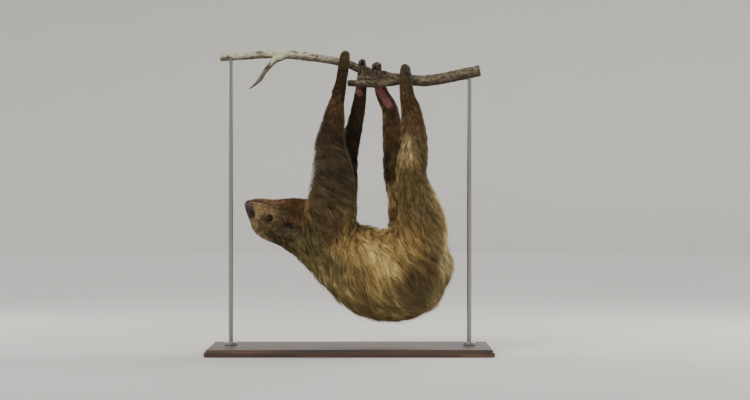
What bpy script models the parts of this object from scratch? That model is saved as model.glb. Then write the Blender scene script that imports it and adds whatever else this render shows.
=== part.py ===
"""Two-toed sloth hanging under a branch, life size, on a museum display stand.

Frame: metres, +Z up, origin at the middle of the stand base's underside.
The branch runs along X with the head at -X. The animal hangs belly up, so its
right limbs are at -Y and its left limbs at +Y.

The flesh is modelled whole, out to the tips of the coat, as lofts through
elliptic stations that a voxel remesh joins. Thin cuts then part it into nodes.
"""

import math

import bmesh
import bpy
from mathutils import Matrix, Vector

# Stand and clearances, metres.
BASE_SIZE = (0.68, 0.30, 0.018)
BASE_EDGE = 0.003
BACK_CLEARANCE = 0.052  # from the base's top to the lowest hair of the back
ROD_RADIUS = 0.0055
ROD_X = 0.286
ROD_IN_BASE = 0.010
ROD_IN_BRANCH = 0.008
COLLAR_RADIUS = 0.016
COLLAR_HEIGHT = 0.008
GAP = 0.0004  # between touching nodes
CUT = 0.0006  # width of the cuts that part the flesh
RIGHT, LEFT = -1, 1

# Flesh.
BACK_LOW = BASE_SIZE[2] + BACK_CLEARANCE
TRUNK_HALF_DEPTH = 0.119  # belly to back, coat included
TRUNK_AXIS = BACK_LOW + TRUNK_HALF_DEPTH
RING_SIDES = 20
VOXEL = 0.0038
SMOOTH_ROUNDS = 14
FLESH_TRIANGLES = 3200
SHARP_ANGLE = math.radians(50.0)

# Stations are (x, y, z, half height in the X-Z plane, half width along Y).
# The trunk runs from the neck to the rump and sags between the limbs.
TRUNK = (
    (-0.091, 0.0, TRUNK_AXIS + 0.101, 0.077, 0.064),
    (-0.053, 0.0, TRUNK_AXIS + 0.073, 0.083, 0.080),
    (-0.005, 0.0, TRUNK_AXIS + 0.039, 0.099, 0.096),
    (0.060, 0.0, TRUNK_AXIS + 0.004, TRUNK_HALF_DEPTH, 0.109),
    (0.125, 0.0, TRUNK_AXIS + 0.002, TRUNK_HALF_DEPTH, 0.107),
    (0.176, 0.0, TRUNK_AXIS + 0.024, 0.100, 0.095),
    (0.205, 0.0, TRUNK_AXIS + 0.038, 0.074, 0.074),
)
# The head and neck run from the nose back into the chest.
HEAD_AXIS = TRUNK_AXIS + 0.151
HEAD = (
    (-0.243, 0.0, HEAD_AXIS, 0.021, 0.0185),
    (-0.234, 0.0, HEAD_AXIS - 0.004, 0.029, 0.0230),
    (-0.216, 0.0, HEAD_AXIS - 0.012, 0.042, 0.0285),
    (-0.192, 0.0, HEAD_AXIS - 0.020, 0.052, 0.0380),
    (-0.167, 0.0, HEAD_AXIS - 0.025, 0.058, 0.0480),
    (-0.139, 0.0, HEAD_AXIS - 0.030, 0.067, 0.0530),
    (-0.110, 0.0, HEAD_AXIS - 0.040, 0.074, 0.0570),
    (-0.082, 0.0, HEAD_AXIS - 0.056, 0.076, 0.0660),
)
# The lips and chin, on the upper side of a head that hangs upside down.
MUZZLE = (
    (-0.256, 0.0, HEAD_AXIS + 0.0070, 0.0170, 0.0150),
    (-0.240, 0.0, HEAD_AXIS + 0.0090, 0.0210, 0.0185),
    (-0.224, 0.0, HEAD_AXIS + 0.0070, 0.0270, 0.0235),
    (-0.206, 0.0, HEAD_AXIS + 0.0010, 0.0320, 0.0295),
    (-0.184, 0.0, HEAD_AXIS - 0.0060, 0.0350, 0.0370),
)
# The nose's flat leather: a place on it and the direction that it faces.
NOSE_FACE = ((-0.2508, 0.0, HEAD_AXIS + 0.0040), (-0.955, 0.0, -0.296))
# Limbs run from the fingertips over the branch down into the trunk. y is the
# distance from the middle plane towards the limb's own side.
ARM_RIGHT = (
    (-0.010, -0.004, 0.7160, 0.0105, 0.0105),
    (-0.011, 0.015, 0.7150, 0.0130, 0.0130),
    (-0.013, 0.028, 0.7000, 0.0150, 0.0145),
    (-0.017, 0.031, 0.6720, 0.0155, 0.0150),
    (-0.022, 0.032, 0.6430, 0.0160, 0.0155),
    (-0.033, 0.037, 0.5950, 0.0225, 0.0205),
    (-0.038, 0.042, 0.5590, 0.0300, 0.0250),
    (-0.046, 0.048, 0.5160, 0.0380, 0.0310),
    (-0.047, 0.053, 0.4800, 0.0450, 0.0370),
    (-0.041, 0.057, 0.4340, 0.0545, 0.0410),
    (-0.043, 0.060, 0.3860, 0.0610, 0.0440),
    (-0.048, 0.060, 0.3340, 0.0650, 0.0470),
    (-0.048, 0.045, 0.2810, 0.0600, 0.0450),
)
ARM_LEFT = (
    (0.0295, 0.000, 0.6985, 0.0100, 0.0100),
    (0.0295, 0.018, 0.6965, 0.0115, 0.0125),
    (0.029, 0.030, 0.6800, 0.0125, 0.0145),
    (0.028, 0.034, 0.6500, 0.0150, 0.0155),
    (0.024, 0.036, 0.6180, 0.0170, 0.0165),
    (0.019, 0.039, 0.5850, 0.0195, 0.0190),
    (0.011, 0.043, 0.5480, 0.0225, 0.0230),
    (0.001, 0.048, 0.5110, 0.0255, 0.0280),
    (-0.009, 0.054, 0.4680, 0.0320, 0.0340),
    (-0.020, 0.058, 0.4200, 0.0430, 0.0400),
    (-0.030, 0.060, 0.3720, 0.0530, 0.0440),
    (-0.041, 0.060, 0.3290, 0.0630, 0.0470),
    (-0.048, 0.045, 0.2810, 0.0600, 0.0450),
)
LEG_RIGHT = (
    (0.133, -0.004, 0.6830, 0.0105, 0.0110),
    (0.132, 0.017, 0.6820, 0.0135, 0.0140),
    (0.133, 0.031, 0.6640, 0.0165, 0.0155),
    (0.134, 0.034, 0.6360, 0.0180, 0.0160),
    (0.138, 0.037, 0.6080, 0.0210, 0.0185),
    (0.145, 0.043, 0.5830, 0.0265, 0.0235),
    (0.151, 0.050, 0.5350, 0.0325, 0.0290),
    (0.154, 0.058, 0.4920, 0.0345, 0.0340),
    (0.148, 0.063, 0.4630, 0.0405, 0.0390),
    (0.146, 0.065, 0.4130, 0.0410, 0.0440),
    (0.164, 0.065, 0.3550, 0.0570, 0.0490),
    (0.170, 0.062, 0.3070, 0.0680, 0.0540),
    (0.165, 0.048, 0.2470, 0.0740, 0.0540),
)
LEG_LEFT = (
    (0.0645, -0.001, 0.6900, 0.0115, 0.0110),
    (0.0645, 0.018, 0.6880, 0.0130, 0.0135),
    (0.0655, 0.031, 0.6720, 0.0140, 0.0150),
    (0.070, 0.035, 0.6480, 0.0155, 0.0160),
    (0.080, 0.037, 0.6180, 0.0185, 0.0175),
    (0.095, 0.039, 0.5910, 0.0215, 0.0200),
    (0.100, 0.043, 0.5590, 0.0250, 0.0260),
    (0.104, 0.050, 0.5110, 0.0280, 0.0310),
    (0.110, 0.058, 0.4510, 0.0340, 0.0380),
    (0.123, 0.062, 0.3960, 0.0420, 0.0440),
    (0.141, 0.062, 0.3430, 0.0570, 0.0490),
    (0.155, 0.060, 0.2950, 0.0700, 0.0540),
    (0.165, 0.048, 0.2470, 0.0740, 0.0540),
)
# The long hair that hangs past the rump.
RUMP_TUFT = (
    (0.216, 0.0, 0.214, 0.026, 0.038),
    (0.246, 0.0, 0.188, 0.009, 0.018),
)

# Cuts: (middle, normal, half length in the X-Z plane, half width along Y).
CUTS = {
    "nape": ((-0.126, 0.0, 0.295), (1.0, 0.0, 0.0), 0.100, 0.090),
    "collar": ((-0.0943, 0.0, 0.270), (1.0, 0.0, 0.135), 0.125, 0.110),
    "shoulders": ((-0.043, 0.0, 0.357), (0.433, 0.0, 0.901), 0.095, 0.130),
    "hips": ((0.165, 0.0, 0.335), (0.10, 0.0, 0.99), 0.100, 0.140),
    "right_elbow": ((-0.047, -0.053, 0.487), (0.0, 0.10, 1.0), 0.062, 0.050),
    "left_elbow": ((0.001, 0.051, 0.484), (0.14, -0.12, 1.0), 0.046, 0.045),
    "right_wrist": ((-0.022, -0.032, 0.645), (0.22, 0.02, 1.0), 0.026, 0.026),
    "left_wrist": ((0.0215, 0.038, 0.603), (0.14, 0.0, 1.0), 0.028, 0.026),
    "right_knee": ((0.151, -0.060, 0.474), (0.0, 0.10, 1.0), 0.055, 0.052),
    "left_knee": ((0.110, 0.056, 0.463), (-0.18, -0.12, 1.0), 0.050, 0.052),
    "right_ankle": ((0.138, -0.037, 0.610), (-0.16, 0.12, 1.0), 0.032, 0.030),
    "left_ankle": ((0.095, 0.038, 0.597), (-0.42, 0.0, 1.0), 0.034, 0.030),
}
# A point near the middle of each node of flesh, by which the bodies are named.
SEATS = {
    "head": (-0.190, 0.0, 0.320),
    "neck": (-0.112, 0.0, 0.290),
    "trunk": (0.065, 0.0, 0.195),
    "upper_arm_right": (-0.043, -0.058, 0.430),
    "upper_arm_left": (-0.018, 0.058, 0.425),
    "forearm_right": (-0.036, -0.042, 0.565),
    "forearm_left": (0.012, 0.043, 0.545),
    "hand_right": (-0.016, -0.026, 0.680),
    "hand_left": (0.029, 0.030, 0.655),
    "thigh_right": (0.156, -0.062, 0.400),
    "thigh_left": (0.130, 0.060, 0.390),
    "shank_right": (0.148, -0.048, 0.540),
    "shank_left": (0.103, 0.047, 0.530),
    "foot_right": (0.133, -0.028, 0.655),
    "foot_left": (0.070, 0.030, 0.650),
}
DARK_NODES = ("hand", "foot", "forearm")

# The head's own pieces.
EYE_RADIUS = 0.0062
EYE = (-0.1895, 0.0312, 0.3238)
EYE_OPENING = 0.0092  # radius of the socket's mouth in the coat
EYE_MOUTH = 0.0150  # from the eye's middle to the socket's mouth
EYE_GAZE = math.radians(22.0)  # how far the eyes turn forward from sideways
EAR = (-0.1430, 0.0500, 0.3040)
EAR_SIZE = (0.0120, 0.0045, 0.0135)
EAR_TURN = math.radians(20.0)
NOSE_CUT = ((-0.2360, 0.0, 0.345), (0.985, 0.0, -0.170), 0.045, 0.045)

# Claws: (root's middle, spacing, count, side hooked towards, hook radius,
# degrees of hook). Two on each hand and three on each foot.
CLAW_RADIUS = 0.0044
CLAW_SINK = 0.010  # length of the root inside the finger
CLAW_SIDES = 6
CLAW_STEPS = 7
CLAW_TALL = 1.20
CLAW_WIDE = 0.80
CLAWS = {
    "hand_right": ((-0.0105, 0.004, 0.7165), 0.0115, 2, LEFT, 0.0265, 122.0),
    "hand_left": ((0.0295, -0.006, 0.6985), 0.0105, 2, RIGHT, 0.0235, 112.0),
    "foot_right": ((0.1330, 0.004, 0.6835), 0.0090, 3, LEFT, 0.0270, 118.0),
    "foot_left": ((0.0645, -0.007, 0.6905), 0.0092, 3, RIGHT, 0.0245, 108.0),
}

# The branch: (x, y, z, radius) along the main stem, a lower stem that leaves
# it, a knot between the two, and a side twig.
BRANCH_MAIN = (
    (-0.312, 0.000, 0.7095, 0.0098),
    (-0.240, 0.002, 0.7140, 0.0102),
    (-0.190, 0.001, 0.7180, 0.0110),
    (-0.144, -0.001, 0.7165, 0.0118),
    (-0.085, 0.000, 0.7090, 0.0102),
    (-0.012, 0.000, 0.6955, 0.0098),
    (0.022, 0.002, 0.6825, 0.0104),
    (0.058, 0.000, 0.6705, 0.0118),
    (0.100, 0.000, 0.6600, 0.0132),
    (0.134, 0.000, 0.6560, 0.0138),
    (0.180, 0.001, 0.6530, 0.0142),
    (0.228, 0.001, 0.6600, 0.0140),
    (0.270, 0.000, 0.6690, 0.0144),
    (0.312, 0.000, 0.6780, 0.0142),
)
BRANCH_LOWER = (
    (0.122, 0.000, 0.6560, 0.0110),
    (0.094, -0.004, 0.6495, 0.0104),
    (0.058, -0.006, 0.6460, 0.0094),
    (0.022, -0.004, 0.6465, 0.0090),
    (-0.006, -0.002, 0.6480, 0.0080),
)
BRANCH_KNOT = (
    (0.072, -0.002, 0.6620, 0.0100),
    (0.048, -0.004, 0.6610, 0.0094),
    (0.030, -0.004, 0.6625, 0.0088),
    (0.018, -0.003, 0.6600, 0.0060),
)
BRANCH_TWIG = (
    (-0.146, -0.001, 0.7165, 0.0090),
    (-0.176, -0.006, 0.7050, 0.0086),
    (-0.186, -0.008, 0.6960, 0.0076),
    (-0.200, -0.010, 0.6800, 0.0064),
    (-0.211, -0.012, 0.6630, 0.0062),
    (-0.218, -0.012, 0.6530, 0.0056),
    (-0.227, -0.012, 0.6440, 0.0034),
    (-0.241, -0.011, 0.6330, 0.0022),
)
BRANCH_STEPS = 2
BRANCH_RESOLUTION = 3
ROD_SIDES = 16
BALL_SIDES = (12, 8)

MATERIALS = {
    "coat": ((0.20, 0.13, 0.065), 0.75, 0.0),
    "coat_dark": ((0.10, 0.06, 0.03), 0.75, 0.0),
    "bare_skin": ((0.10, 0.06, 0.055), 0.45, 0.0),
    "claw": ((0.16, 0.11, 0.07), 0.35, 0.0),
    "eye": ((0.02, 0.012, 0.008), 0.08, 0.0),
    "bark": ((0.25, 0.19, 0.13), 0.9, 0.0),
    "stand_wood": ((0.05, 0.035, 0.028), 0.45, 0.0),
    "stand_steel": ((0.35, 0.35, 0.36), 0.35, 1.0),
}


def clear_scene():
    """Removes the startup scene's objects."""
    for found in list(bpy.data.objects):
        bpy.data.objects.remove(found, do_unlink=True)


def make_collection(name):
    """A new collection in the scene."""
    made = bpy.data.collections.new(name)
    bpy.context.scene.collection.children.link(made)
    return made


def make_materials():
    """One Principled material for each finish."""
    made = {}
    for name, (colour, roughness, metallic) in MATERIALS.items():
        material = bpy.data.materials.new(name)
        material.use_nodes = True
        shader = material.node_tree.nodes["Principled BSDF"]
        shader.inputs["Base Color"].default_value = (*colour, 1.0)
        shader.inputs["Roughness"].default_value = roughness
        shader.inputs["Metallic"].default_value = metallic
        made[name] = material
    return made


def add_object(name, data, collection, material=None):
    """An object in collection, with one material."""
    made = bpy.data.objects.new(name, data)
    collection.objects.link(made)
    if material:
        data.materials.clear()
        data.materials.append(material)
    return made


def as_cutter(made):
    """Marks an object as a cutter, which isn't part of the model."""
    made.hide_render = True
    made.display_type = "WIRE"
    return made


def mesh_from(bm, name):
    """A mesh from bm, with its faces pointing out."""
    bmesh.ops.recalc_face_normals(bm, faces=bm.faces)
    mesh = bpy.data.meshes.new(name)
    bm.to_mesh(mesh)
    bm.free()
    return mesh


def evaluated_mesh(made):
    """The object's mesh with its modifiers applied."""
    bpy.context.view_layer.update()
    graph = bpy.context.evaluated_depsgraph_get()
    return bpy.data.meshes.new_from_object(made.evaluated_get(graph))


def apply_modifiers(made):
    """Replaces the object's mesh by its evaluated one."""
    mesh = evaluated_mesh(made)
    made.modifiers.clear()
    made.data = mesh
    return made


def boolean(made, cutter, operation="DIFFERENCE"):
    """Cuts the object by cutter, or joins them, and keeps the result."""
    modifier = made.modifiers.new("boolean", "BOOLEAN")
    modifier.operation = operation
    modifier.object = cutter
    modifier.solver = "EXACT"
    return apply_modifiers(made)


def spline_point(rows, at):
    """A Catmull-Rom point through rows of equal length, at 0 .. len - 1."""
    last = len(rows) - 1
    index = min(int(at), last - 1)
    t = at - index
    picked = [rows[min(max(index + k, 0), last)] for k in (-1, 0, 1, 2)]
    point = []
    for a, b, c, d in zip(*picked):
        cubic = 3.0 * b - 3.0 * c + d - a
        square = 2.0 * a - 5.0 * b + 4.0 * c - d
        point.append(0.5 * (2.0 * b + (c - a) * t + square * t * t + cubic * t**3))
    return point


def spline_rows(rows, steps):
    """Smooth rows through the given ones, steps for each interval."""
    count = (len(rows) - 1) * steps
    return [spline_point(rows, k / steps) for k in range(count + 1)]


def ring(bm, centre, along, reference, half_reference, half_other, sides):
    """A ring of points square to along, with one half axis near reference."""
    across = (reference - along * along.dot(reference)).normalized()
    up = along.cross(across)
    points = []
    for k in range(sides):
        turn = 2.0 * math.pi * k / sides
        offset = across * (half_reference * math.cos(turn)) + up * (half_other * math.sin(turn))
        points.append(bm.verts.new(centre + offset))
    return points


def close_rings(bm, rings):
    """Quads between the rings in turn, and a face over each end."""
    for first, second in zip(rings, rings[1:]):
        for k, point in enumerate(first):
            after = (k + 1) % len(first)
            bm.faces.new((point, first[after], second[after], second[k]))
    bm.faces.new(list(reversed(rings[0])))
    bm.faces.new(rings[-1])


def add_loft(bm, stations, reference, cap=0.75, steps=4):
    """A closed loft through stations, with domed ends of cap times their width.

    reference is "X" on a limb, whose path leaves X alone, and "Y" on the trunk
    and head.
    """
    rows = spline_rows(stations, steps)
    centres = [Vector(row[:3]) for row in rows]
    last = len(rows) - 1
    axis = Vector((1.0, 0.0, 0.0)) if reference == "X" else Vector((0.0, 1.0, 0.0))
    sections = []
    for k, (_, _, _, tall, wide) in enumerate(rows):
        along = (centres[min(k + 1, last)] - centres[max(k - 1, 0)]).normalized()
        made = [(centres[k], along, 1.0, tall, wide)]
        if k in (0, last):
            way = -1.0 if k == 0 else 1.0
            for turn in (30.0, 55.0, 75.0):
                angle = math.radians(turn)
                rise = along * (way * cap * min(tall, wide) * math.sin(angle))
                made.append((centres[k] + rise, along, math.cos(angle), tall, wide))
            if k == 0:
                made.reverse()
        sections.extend(made)
    rings = []
    for centre, along, shrink, tall, wide in sections:
        sizes = (tall * shrink, wide * shrink)
        if reference == "Y":
            sizes = (sizes[1], sizes[0])
        rings.append(ring(bm, centre, along, axis, *sizes, RING_SIDES))
    close_rings(bm, rings)


def add_head(bm):
    """The head's loft and the muzzle's, cut off flat at the nose."""
    head = bmesh.new()
    add_loft(head, HEAD, "Y", cap=0.45)
    add_loft(head, MUZZLE, "Y", cap=0.45)
    place, facing = NOSE_FACE
    geometry = head.verts[:] + head.edges[:] + head.faces[:]
    bmesh.ops.bisect_plane(
        head, geom=geometry, plane_co=place, plane_no=facing, clear_outer=True
    )
    open_edges = [edge for edge in head.edges if edge.is_boundary]
    bmesh.ops.holes_fill(head, edges=open_edges, sides=0)
    mesh = mesh_from(head, "head_lofts")
    bm.from_mesh(mesh)
    bpy.data.meshes.remove(mesh)


def on_side(stations, side):
    """Limb stations with y measured towards one side."""
    return [(x, side * y, z, tall, wide) for x, y, z, tall, wide in stations]


def build_flesh(collection):
    """The whole animal without eyes, ears and claws, as one smooth body."""
    bm = bmesh.new()
    add_loft(bm, TRUNK, "Y", cap=0.62)
    add_head(bm)
    add_loft(bm, on_side(ARM_RIGHT, RIGHT), "X")
    add_loft(bm, on_side(ARM_LEFT, LEFT), "X")
    add_loft(bm, on_side(LEG_RIGHT, RIGHT), "X")
    add_loft(bm, on_side(LEG_LEFT, LEFT), "X")
    add_loft(bm, RUMP_TUFT, "Y")
    flesh = add_object("flesh", mesh_from(bm, "flesh"), collection)
    remesh = flesh.modifiers.new("one_body", "REMESH")
    remesh.mode = "VOXEL"
    remesh.voxel_size = VOXEL
    smooth = flesh.modifiers.new("smooth", "SMOOTH")
    smooth.factor = 0.5
    smooth.iterations = SMOOTH_ROUNDS
    apply_modifiers(flesh)
    flesh.data.calc_loop_triangles()
    decimate = flesh.modifiers.new("facets", "DECIMATE")
    decimate.ratio = FLESH_TRIANGLES / len(flesh.data.loop_triangles)
    decimate.use_collapse_triangulate = True
    return apply_modifiers(flesh)


def add_slab(bm, middle, normal, half_length, half_width):
    """A box CUT thick, square to normal."""
    axis = Vector(normal).normalized()
    across = (Vector((0.0, 1.0, 0.0)) - axis * axis.y).normalized()
    along = across.cross(axis)
    turn = Matrix((along, across, axis)).transposed().to_4x4()
    size = Matrix.Diagonal((2.0 * half_length, 2.0 * half_width, CUT, 1.0))
    matrix = Matrix.Translation(Vector(middle)) @ turn @ size
    bmesh.ops.create_cube(bm, size=1.0, matrix=matrix)


def loose_bodies(mesh):
    """The closed bodies of a mesh, each as a mesh of its own."""
    whole = bmesh.new()
    whole.from_mesh(mesh)
    seen = set()
    bodies = []
    for seed in whole.faces:
        if seed in seen:
            continue
        group = []
        waiting = [seed]
        seen.add(seed)
        while waiting:
            face = waiting.pop()
            group.append(face)
            for edge in face.edges:
                for other in edge.link_faces:
                    if other not in seen:
                        seen.add(other)
                        waiting.append(other)
        bodies.append(sorted(face.index for face in group))
    whole.free()
    meshes = []
    for kept in bodies:
        one = bmesh.new()
        one.from_mesh(mesh)
        one.faces.ensure_lookup_table()
        keep = set(kept)
        dropped = [face for face in one.faces if face.index not in keep]
        bmesh.ops.delete(one, geom=dropped, context="FACES")
        meshes.append(mesh_from(one, "body"))
    return meshes


def middle_of(mesh):
    """The mean of a mesh's points."""
    total = Vector((0.0, 0.0, 0.0))
    for vertex in mesh.vertices:
        total += vertex.co
    return total / len(mesh.vertices)


def part_flesh(flesh, collection, cutters, materials):
    """Parts the flesh by the thin cuts into its named nodes."""
    bm = bmesh.new()
    for cut in CUTS.values():
        add_slab(bm, *cut)
    cutter = as_cutter(add_object("flesh_cuts", mesh_from(bm, "flesh_cuts"), cutters))
    boolean(flesh, cutter)
    bodies = loose_bodies(flesh.data)
    nodes = {}
    for name, seat in SEATS.items():
        nearest = min(bodies, key=lambda mesh: (middle_of(mesh) - Vector(seat)).length)
        bodies.remove(nearest)
        finish = "coat_dark" if name.startswith(DARK_NODES) else "coat"
        nodes[name] = add_object(name, nearest, collection, materials[finish])
    bpy.data.objects.remove(flesh)
    return nodes


def ellipsoid(name, place, half_sizes, turn, collection, material=None):
    """A UV sphere scaled to half_sizes, turned and placed."""
    bm = bmesh.new()
    size = Matrix.Diagonal((*half_sizes, 1.0))
    matrix = Matrix.Translation(Vector(place)) @ turn @ size
    around, rows = BALL_SIDES
    bmesh.ops.create_uvsphere(bm, u_segments=around, v_segments=rows, radius=1.0, matrix=matrix)
    return add_object(name, mesh_from(bm, name), collection, material)


def cone(name, place, turn, radii, depth, collection, material=None):
    """A capped cone or cylinder along its own Z, its middle at place."""
    bm = bmesh.new()
    bmesh.ops.create_cone(
        bm,
        cap_ends=True,
        segments=ROD_SIDES,
        radius1=radii[0],
        radius2=radii[1],
        depth=depth,
        matrix=Matrix.Translation(Vector(place)) @ turn,
    )
    return add_object(name, mesh_from(bm, name), collection, material)


def add_eye(side, word, head, collection, cutters, material):
    """An eye set in a socket that opens out through the coat."""
    place = Vector((EYE[0], side * EYE[1], EYE[2]))
    gaze = Vector((-math.sin(EYE_GAZE), side * math.cos(EYE_GAZE), 0.0))
    turn = gaze.to_track_quat("Z", "Y").to_matrix().to_4x4()
    ellipsoid(f"eye_{word}", place, (EYE_RADIUS,) * 3, turn, collection, material)
    seat = ellipsoid(f"eye_seat_{word}", place, (EYE_RADIUS + GAP,) * 3, turn, cutters)
    boolean(head, as_cutter(seat))
    mouth = place + gaze * (EYE_MOUTH / 2.0)
    radii = (EYE_RADIUS + GAP, EYE_OPENING)
    socket = cone(f"eye_socket_{word}", mouth, turn, radii, EYE_MOUTH, cutters)
    boolean(head, as_cutter(socket))


def add_ear(side, word, head, collection, cutters, material):
    """A small round ear, half sunk in the coat."""
    place = (EAR[0], side * EAR[1], EAR[2])
    turn = Matrix.Rotation(side * EAR_TURN, 4, "Z")
    ellipsoid(f"ear_{word}", place, EAR_SIZE, turn, collection, material)
    roomy = tuple(size + GAP for size in EAR_SIZE)
    seat = ellipsoid(f"ear_seat_{word}", place, roomy, turn, cutters)
    boolean(head, as_cutter(seat))


def add_head_pieces(head, collection, cutters, materials):
    """The nose pad, the eyes and the ears."""
    for side, word in ((RIGHT, "right"), (LEFT, "left")):
        add_eye(side, word, head, collection, cutters, materials["eye"])
        add_ear(side, word, head, collection, cutters, materials["coat"])
    bm = bmesh.new()
    add_slab(bm, *NOSE_CUT)
    boolean(head, as_cutter(add_object("nose_cut", mesh_from(bm, "nose_cut"), cutters)))
    nose, rest = sorted(loose_bodies(head.data), key=lambda mesh: middle_of(mesh).x)
    add_object("nose", nose, collection, materials["bare_skin"])
    head.data = rest
    head.data.materials.clear()
    head.data.materials.append(materials["coat"])


def claw_mesh(name, root, hook, radius, sweep, extra=0.0):
    """A tapered claw, taller than wide, that hooks over towards one side.

    It starts level inside the finger, then follows an arc of the given radius
    through sweep degrees. extra widens it all round.
    """
    start = Vector(root) - Vector((0.0, hook * (CLAW_SINK + extra), 0.0))
    rows = [(start, CLAW_RADIUS * 0.8)]
    for k in range(CLAW_STEPS + 1):
        share = k / CLAW_STEPS
        turn = math.radians(sweep) * share
        place = Vector(root)
        place.y += hook * radius * math.sin(turn)
        place.z += radius * (math.cos(turn) - 1.0)
        rows.append((place, CLAW_RADIUS * (1.0 - 0.86 * share**1.8)))
    bm = bmesh.new()
    last = len(rows) - 1
    rings = []
    for k, (place, size) in enumerate(rows):
        along = (rows[min(k + 1, last)][0] - rows[max(k - 1, 0)][0]).normalized()
        sizes = (CLAW_WIDE * size + extra, CLAW_TALL * size + extra)
        rings.append(ring(bm, place, along, Vector((1.0, 0.0, 0.0)), *sizes, CLAW_SIDES))
    close_rings(bm, rings)
    return mesh_from(bm, name)


def add_claws(nodes, collection, cutters, materials):
    """The claws, each with its root in a seat in its hand or foot."""
    for holder, (middle, apart, count, hook, radius, sweep) in CLAWS.items():
        for k in range(count):
            offset = (k - (count - 1) / 2.0) * apart
            root = (middle[0] + offset, middle[1], middle[2])
            name = f"{holder}_claw_{k + 1}"
            claw = claw_mesh(name, root, hook, radius, sweep)
            add_object(name, claw, collection, materials["claw"])
            wider = claw_mesh(f"{name}_seat", root, hook, radius, sweep, GAP)
            seat = as_cutter(add_object(f"{name}_seat", wider, cutters))
            boolean(nodes[holder], seat)


def tube(name, rows, collection, extra):
    """A closed tube through (x, y, z, radius) rows, as a mesh."""
    curve = bpy.data.curves.new(name, "CURVE")
    curve.dimensions = "3D"
    curve.bevel_depth = 1.0
    curve.bevel_resolution = BRANCH_RESOLUTION
    curve.use_fill_caps = True
    smooth = spline_rows(rows, BRANCH_STEPS)
    spline = curve.splines.new("POLY")
    spline.points.add(len(smooth) - 1)
    for point, (x, y, z, radius) in zip(spline.points, smooth):
        point.co = (x, y, z, 1.0)
        point.radius = radius + extra
    guide = bpy.data.objects.new(f"{name}_curve", curve)
    collection.objects.link(guide)
    bm = bmesh.new()
    bm.from_mesh(evaluated_mesh(guide))
    bmesh.ops.remove_doubles(bm, verts=bm.verts, dist=0.00002)
    bpy.data.objects.remove(guide)
    return add_object(name, mesh_from(bm, name), collection)


def build_branch(name, collection, cutters, material, extra=0.0):
    """The perch: the main stem, the lower stem, the knot and the twig as one piece."""
    main = tube(name, BRANCH_MAIN, collection, extra)
    added = (("lower_stem", BRANCH_LOWER), ("knot", BRANCH_KNOT), ("twig", BRANCH_TWIG))
    for part, rows in added:
        joined = as_cutter(tube(f"{name}_{part}", rows, cutters, extra))
        boolean(main, joined, "UNION")
    main.data.materials.clear()
    main.data.materials.append(material)
    return main


def stem_underside(x):
    """The height of the main stem's underside at x."""
    for a, b in zip(BRANCH_MAIN, BRANCH_MAIN[1:]):
        if a[0] <= x <= b[0]:
            share = (x - a[0]) / (b[0] - a[0])
            return a[2] - a[3] + (b[2] - b[3] - a[2] + a[3]) * share
    return BRANCH_MAIN[-1][2] - BRANCH_MAIN[-1][3]


def upright(name, radius, bottom, top, x, collection, material=None):
    """An upright cylinder at (x, 0)."""
    place = (x, 0.0, (bottom + top) / 2.0)
    return cone(name, place, Matrix(), (radius, radius), top - bottom, collection, material)


def build_stand(branch, collection, cutters, materials):
    """The flat base and the two rods that hold the branch, with their collars."""
    height = BASE_SIZE[2]
    bm = bmesh.new()
    place = Matrix.Translation((0.0, 0.0, height / 2.0))
    size = Matrix.Diagonal((*BASE_SIZE, 1.0))
    bmesh.ops.create_cube(bm, size=1.0, matrix=place @ size)
    wood = materials["stand_wood"]
    base = add_object("stand_base", mesh_from(bm, "stand_base"), collection, wood)
    bevel = base.modifiers.new("soft_edges", "BEVEL")
    bevel.width = BASE_EDGE
    bevel.segments = 2
    apply_modifiers(base)
    steel = materials["stand_steel"]
    for side, word in ((-1, "front"), (1, "rear")):
        x = side * ROD_X
        bottom = height - ROD_IN_BASE
        top = stem_underside(x) + ROD_IN_BRANCH
        upright(f"stand_rod_{word}", ROD_RADIUS, bottom, top, x, collection, steel)
        hole = upright(f"rod_hole_{word}", ROD_RADIUS + GAP, bottom - GAP, top + GAP, x, cutters)
        as_cutter(hole)
        boolean(base, hole)
        boolean(branch, hole)
        collar_top = height + COLLAR_HEIGHT
        name = f"stand_collar_{word}"
        collar = upright(name, COLLAR_RADIUS, height + GAP, collar_top, x, collection, steel)
        boolean(collar, hole)


def main():
    """Builds the animal, its perch and its stand."""
    clear_scene()
    materials = make_materials()
    animal = make_collection("two_toed_sloth")
    cutters = make_collection("cutters")
    flesh = build_flesh(animal)
    nodes = part_flesh(flesh, animal, cutters, materials)
    add_head_pieces(nodes["head"], animal, cutters, materials)
    add_claws(nodes, animal, cutters, materials)
    branch = build_branch("branch", animal, cutters, materials["bark"])
    build_stand(branch, animal, cutters, materials)
    room = as_cutter(build_branch("branch_room", cutters, cutters, materials["bark"], GAP))
    for holder in CLAWS:
        boolean(nodes[holder], room)
    for made in animal.objects:
        made.data.shade_smooth()
        made.data.set_sharp_from_angle(angle=SHARP_ANGLE)


if __name__ == "__main__":
    main()
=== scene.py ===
"""Looks of a life-size two-toed sloth that hangs from a cut branch on a stand.

One skin stands for every node of flesh and lies inside them by the coat's depth.
The coat is solid tufts, traced over the skin along the lie of the hair and drawn
together into locks. Lengths are metres and +Z is up. The head is at -X, and the
animal's right side, at -Y, is turned to the viewer.
"""

import logging
import math
from collections.abc import Callable, Sequence
from dataclasses import dataclass, field
from enum import Enum
from itertools import product

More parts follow.
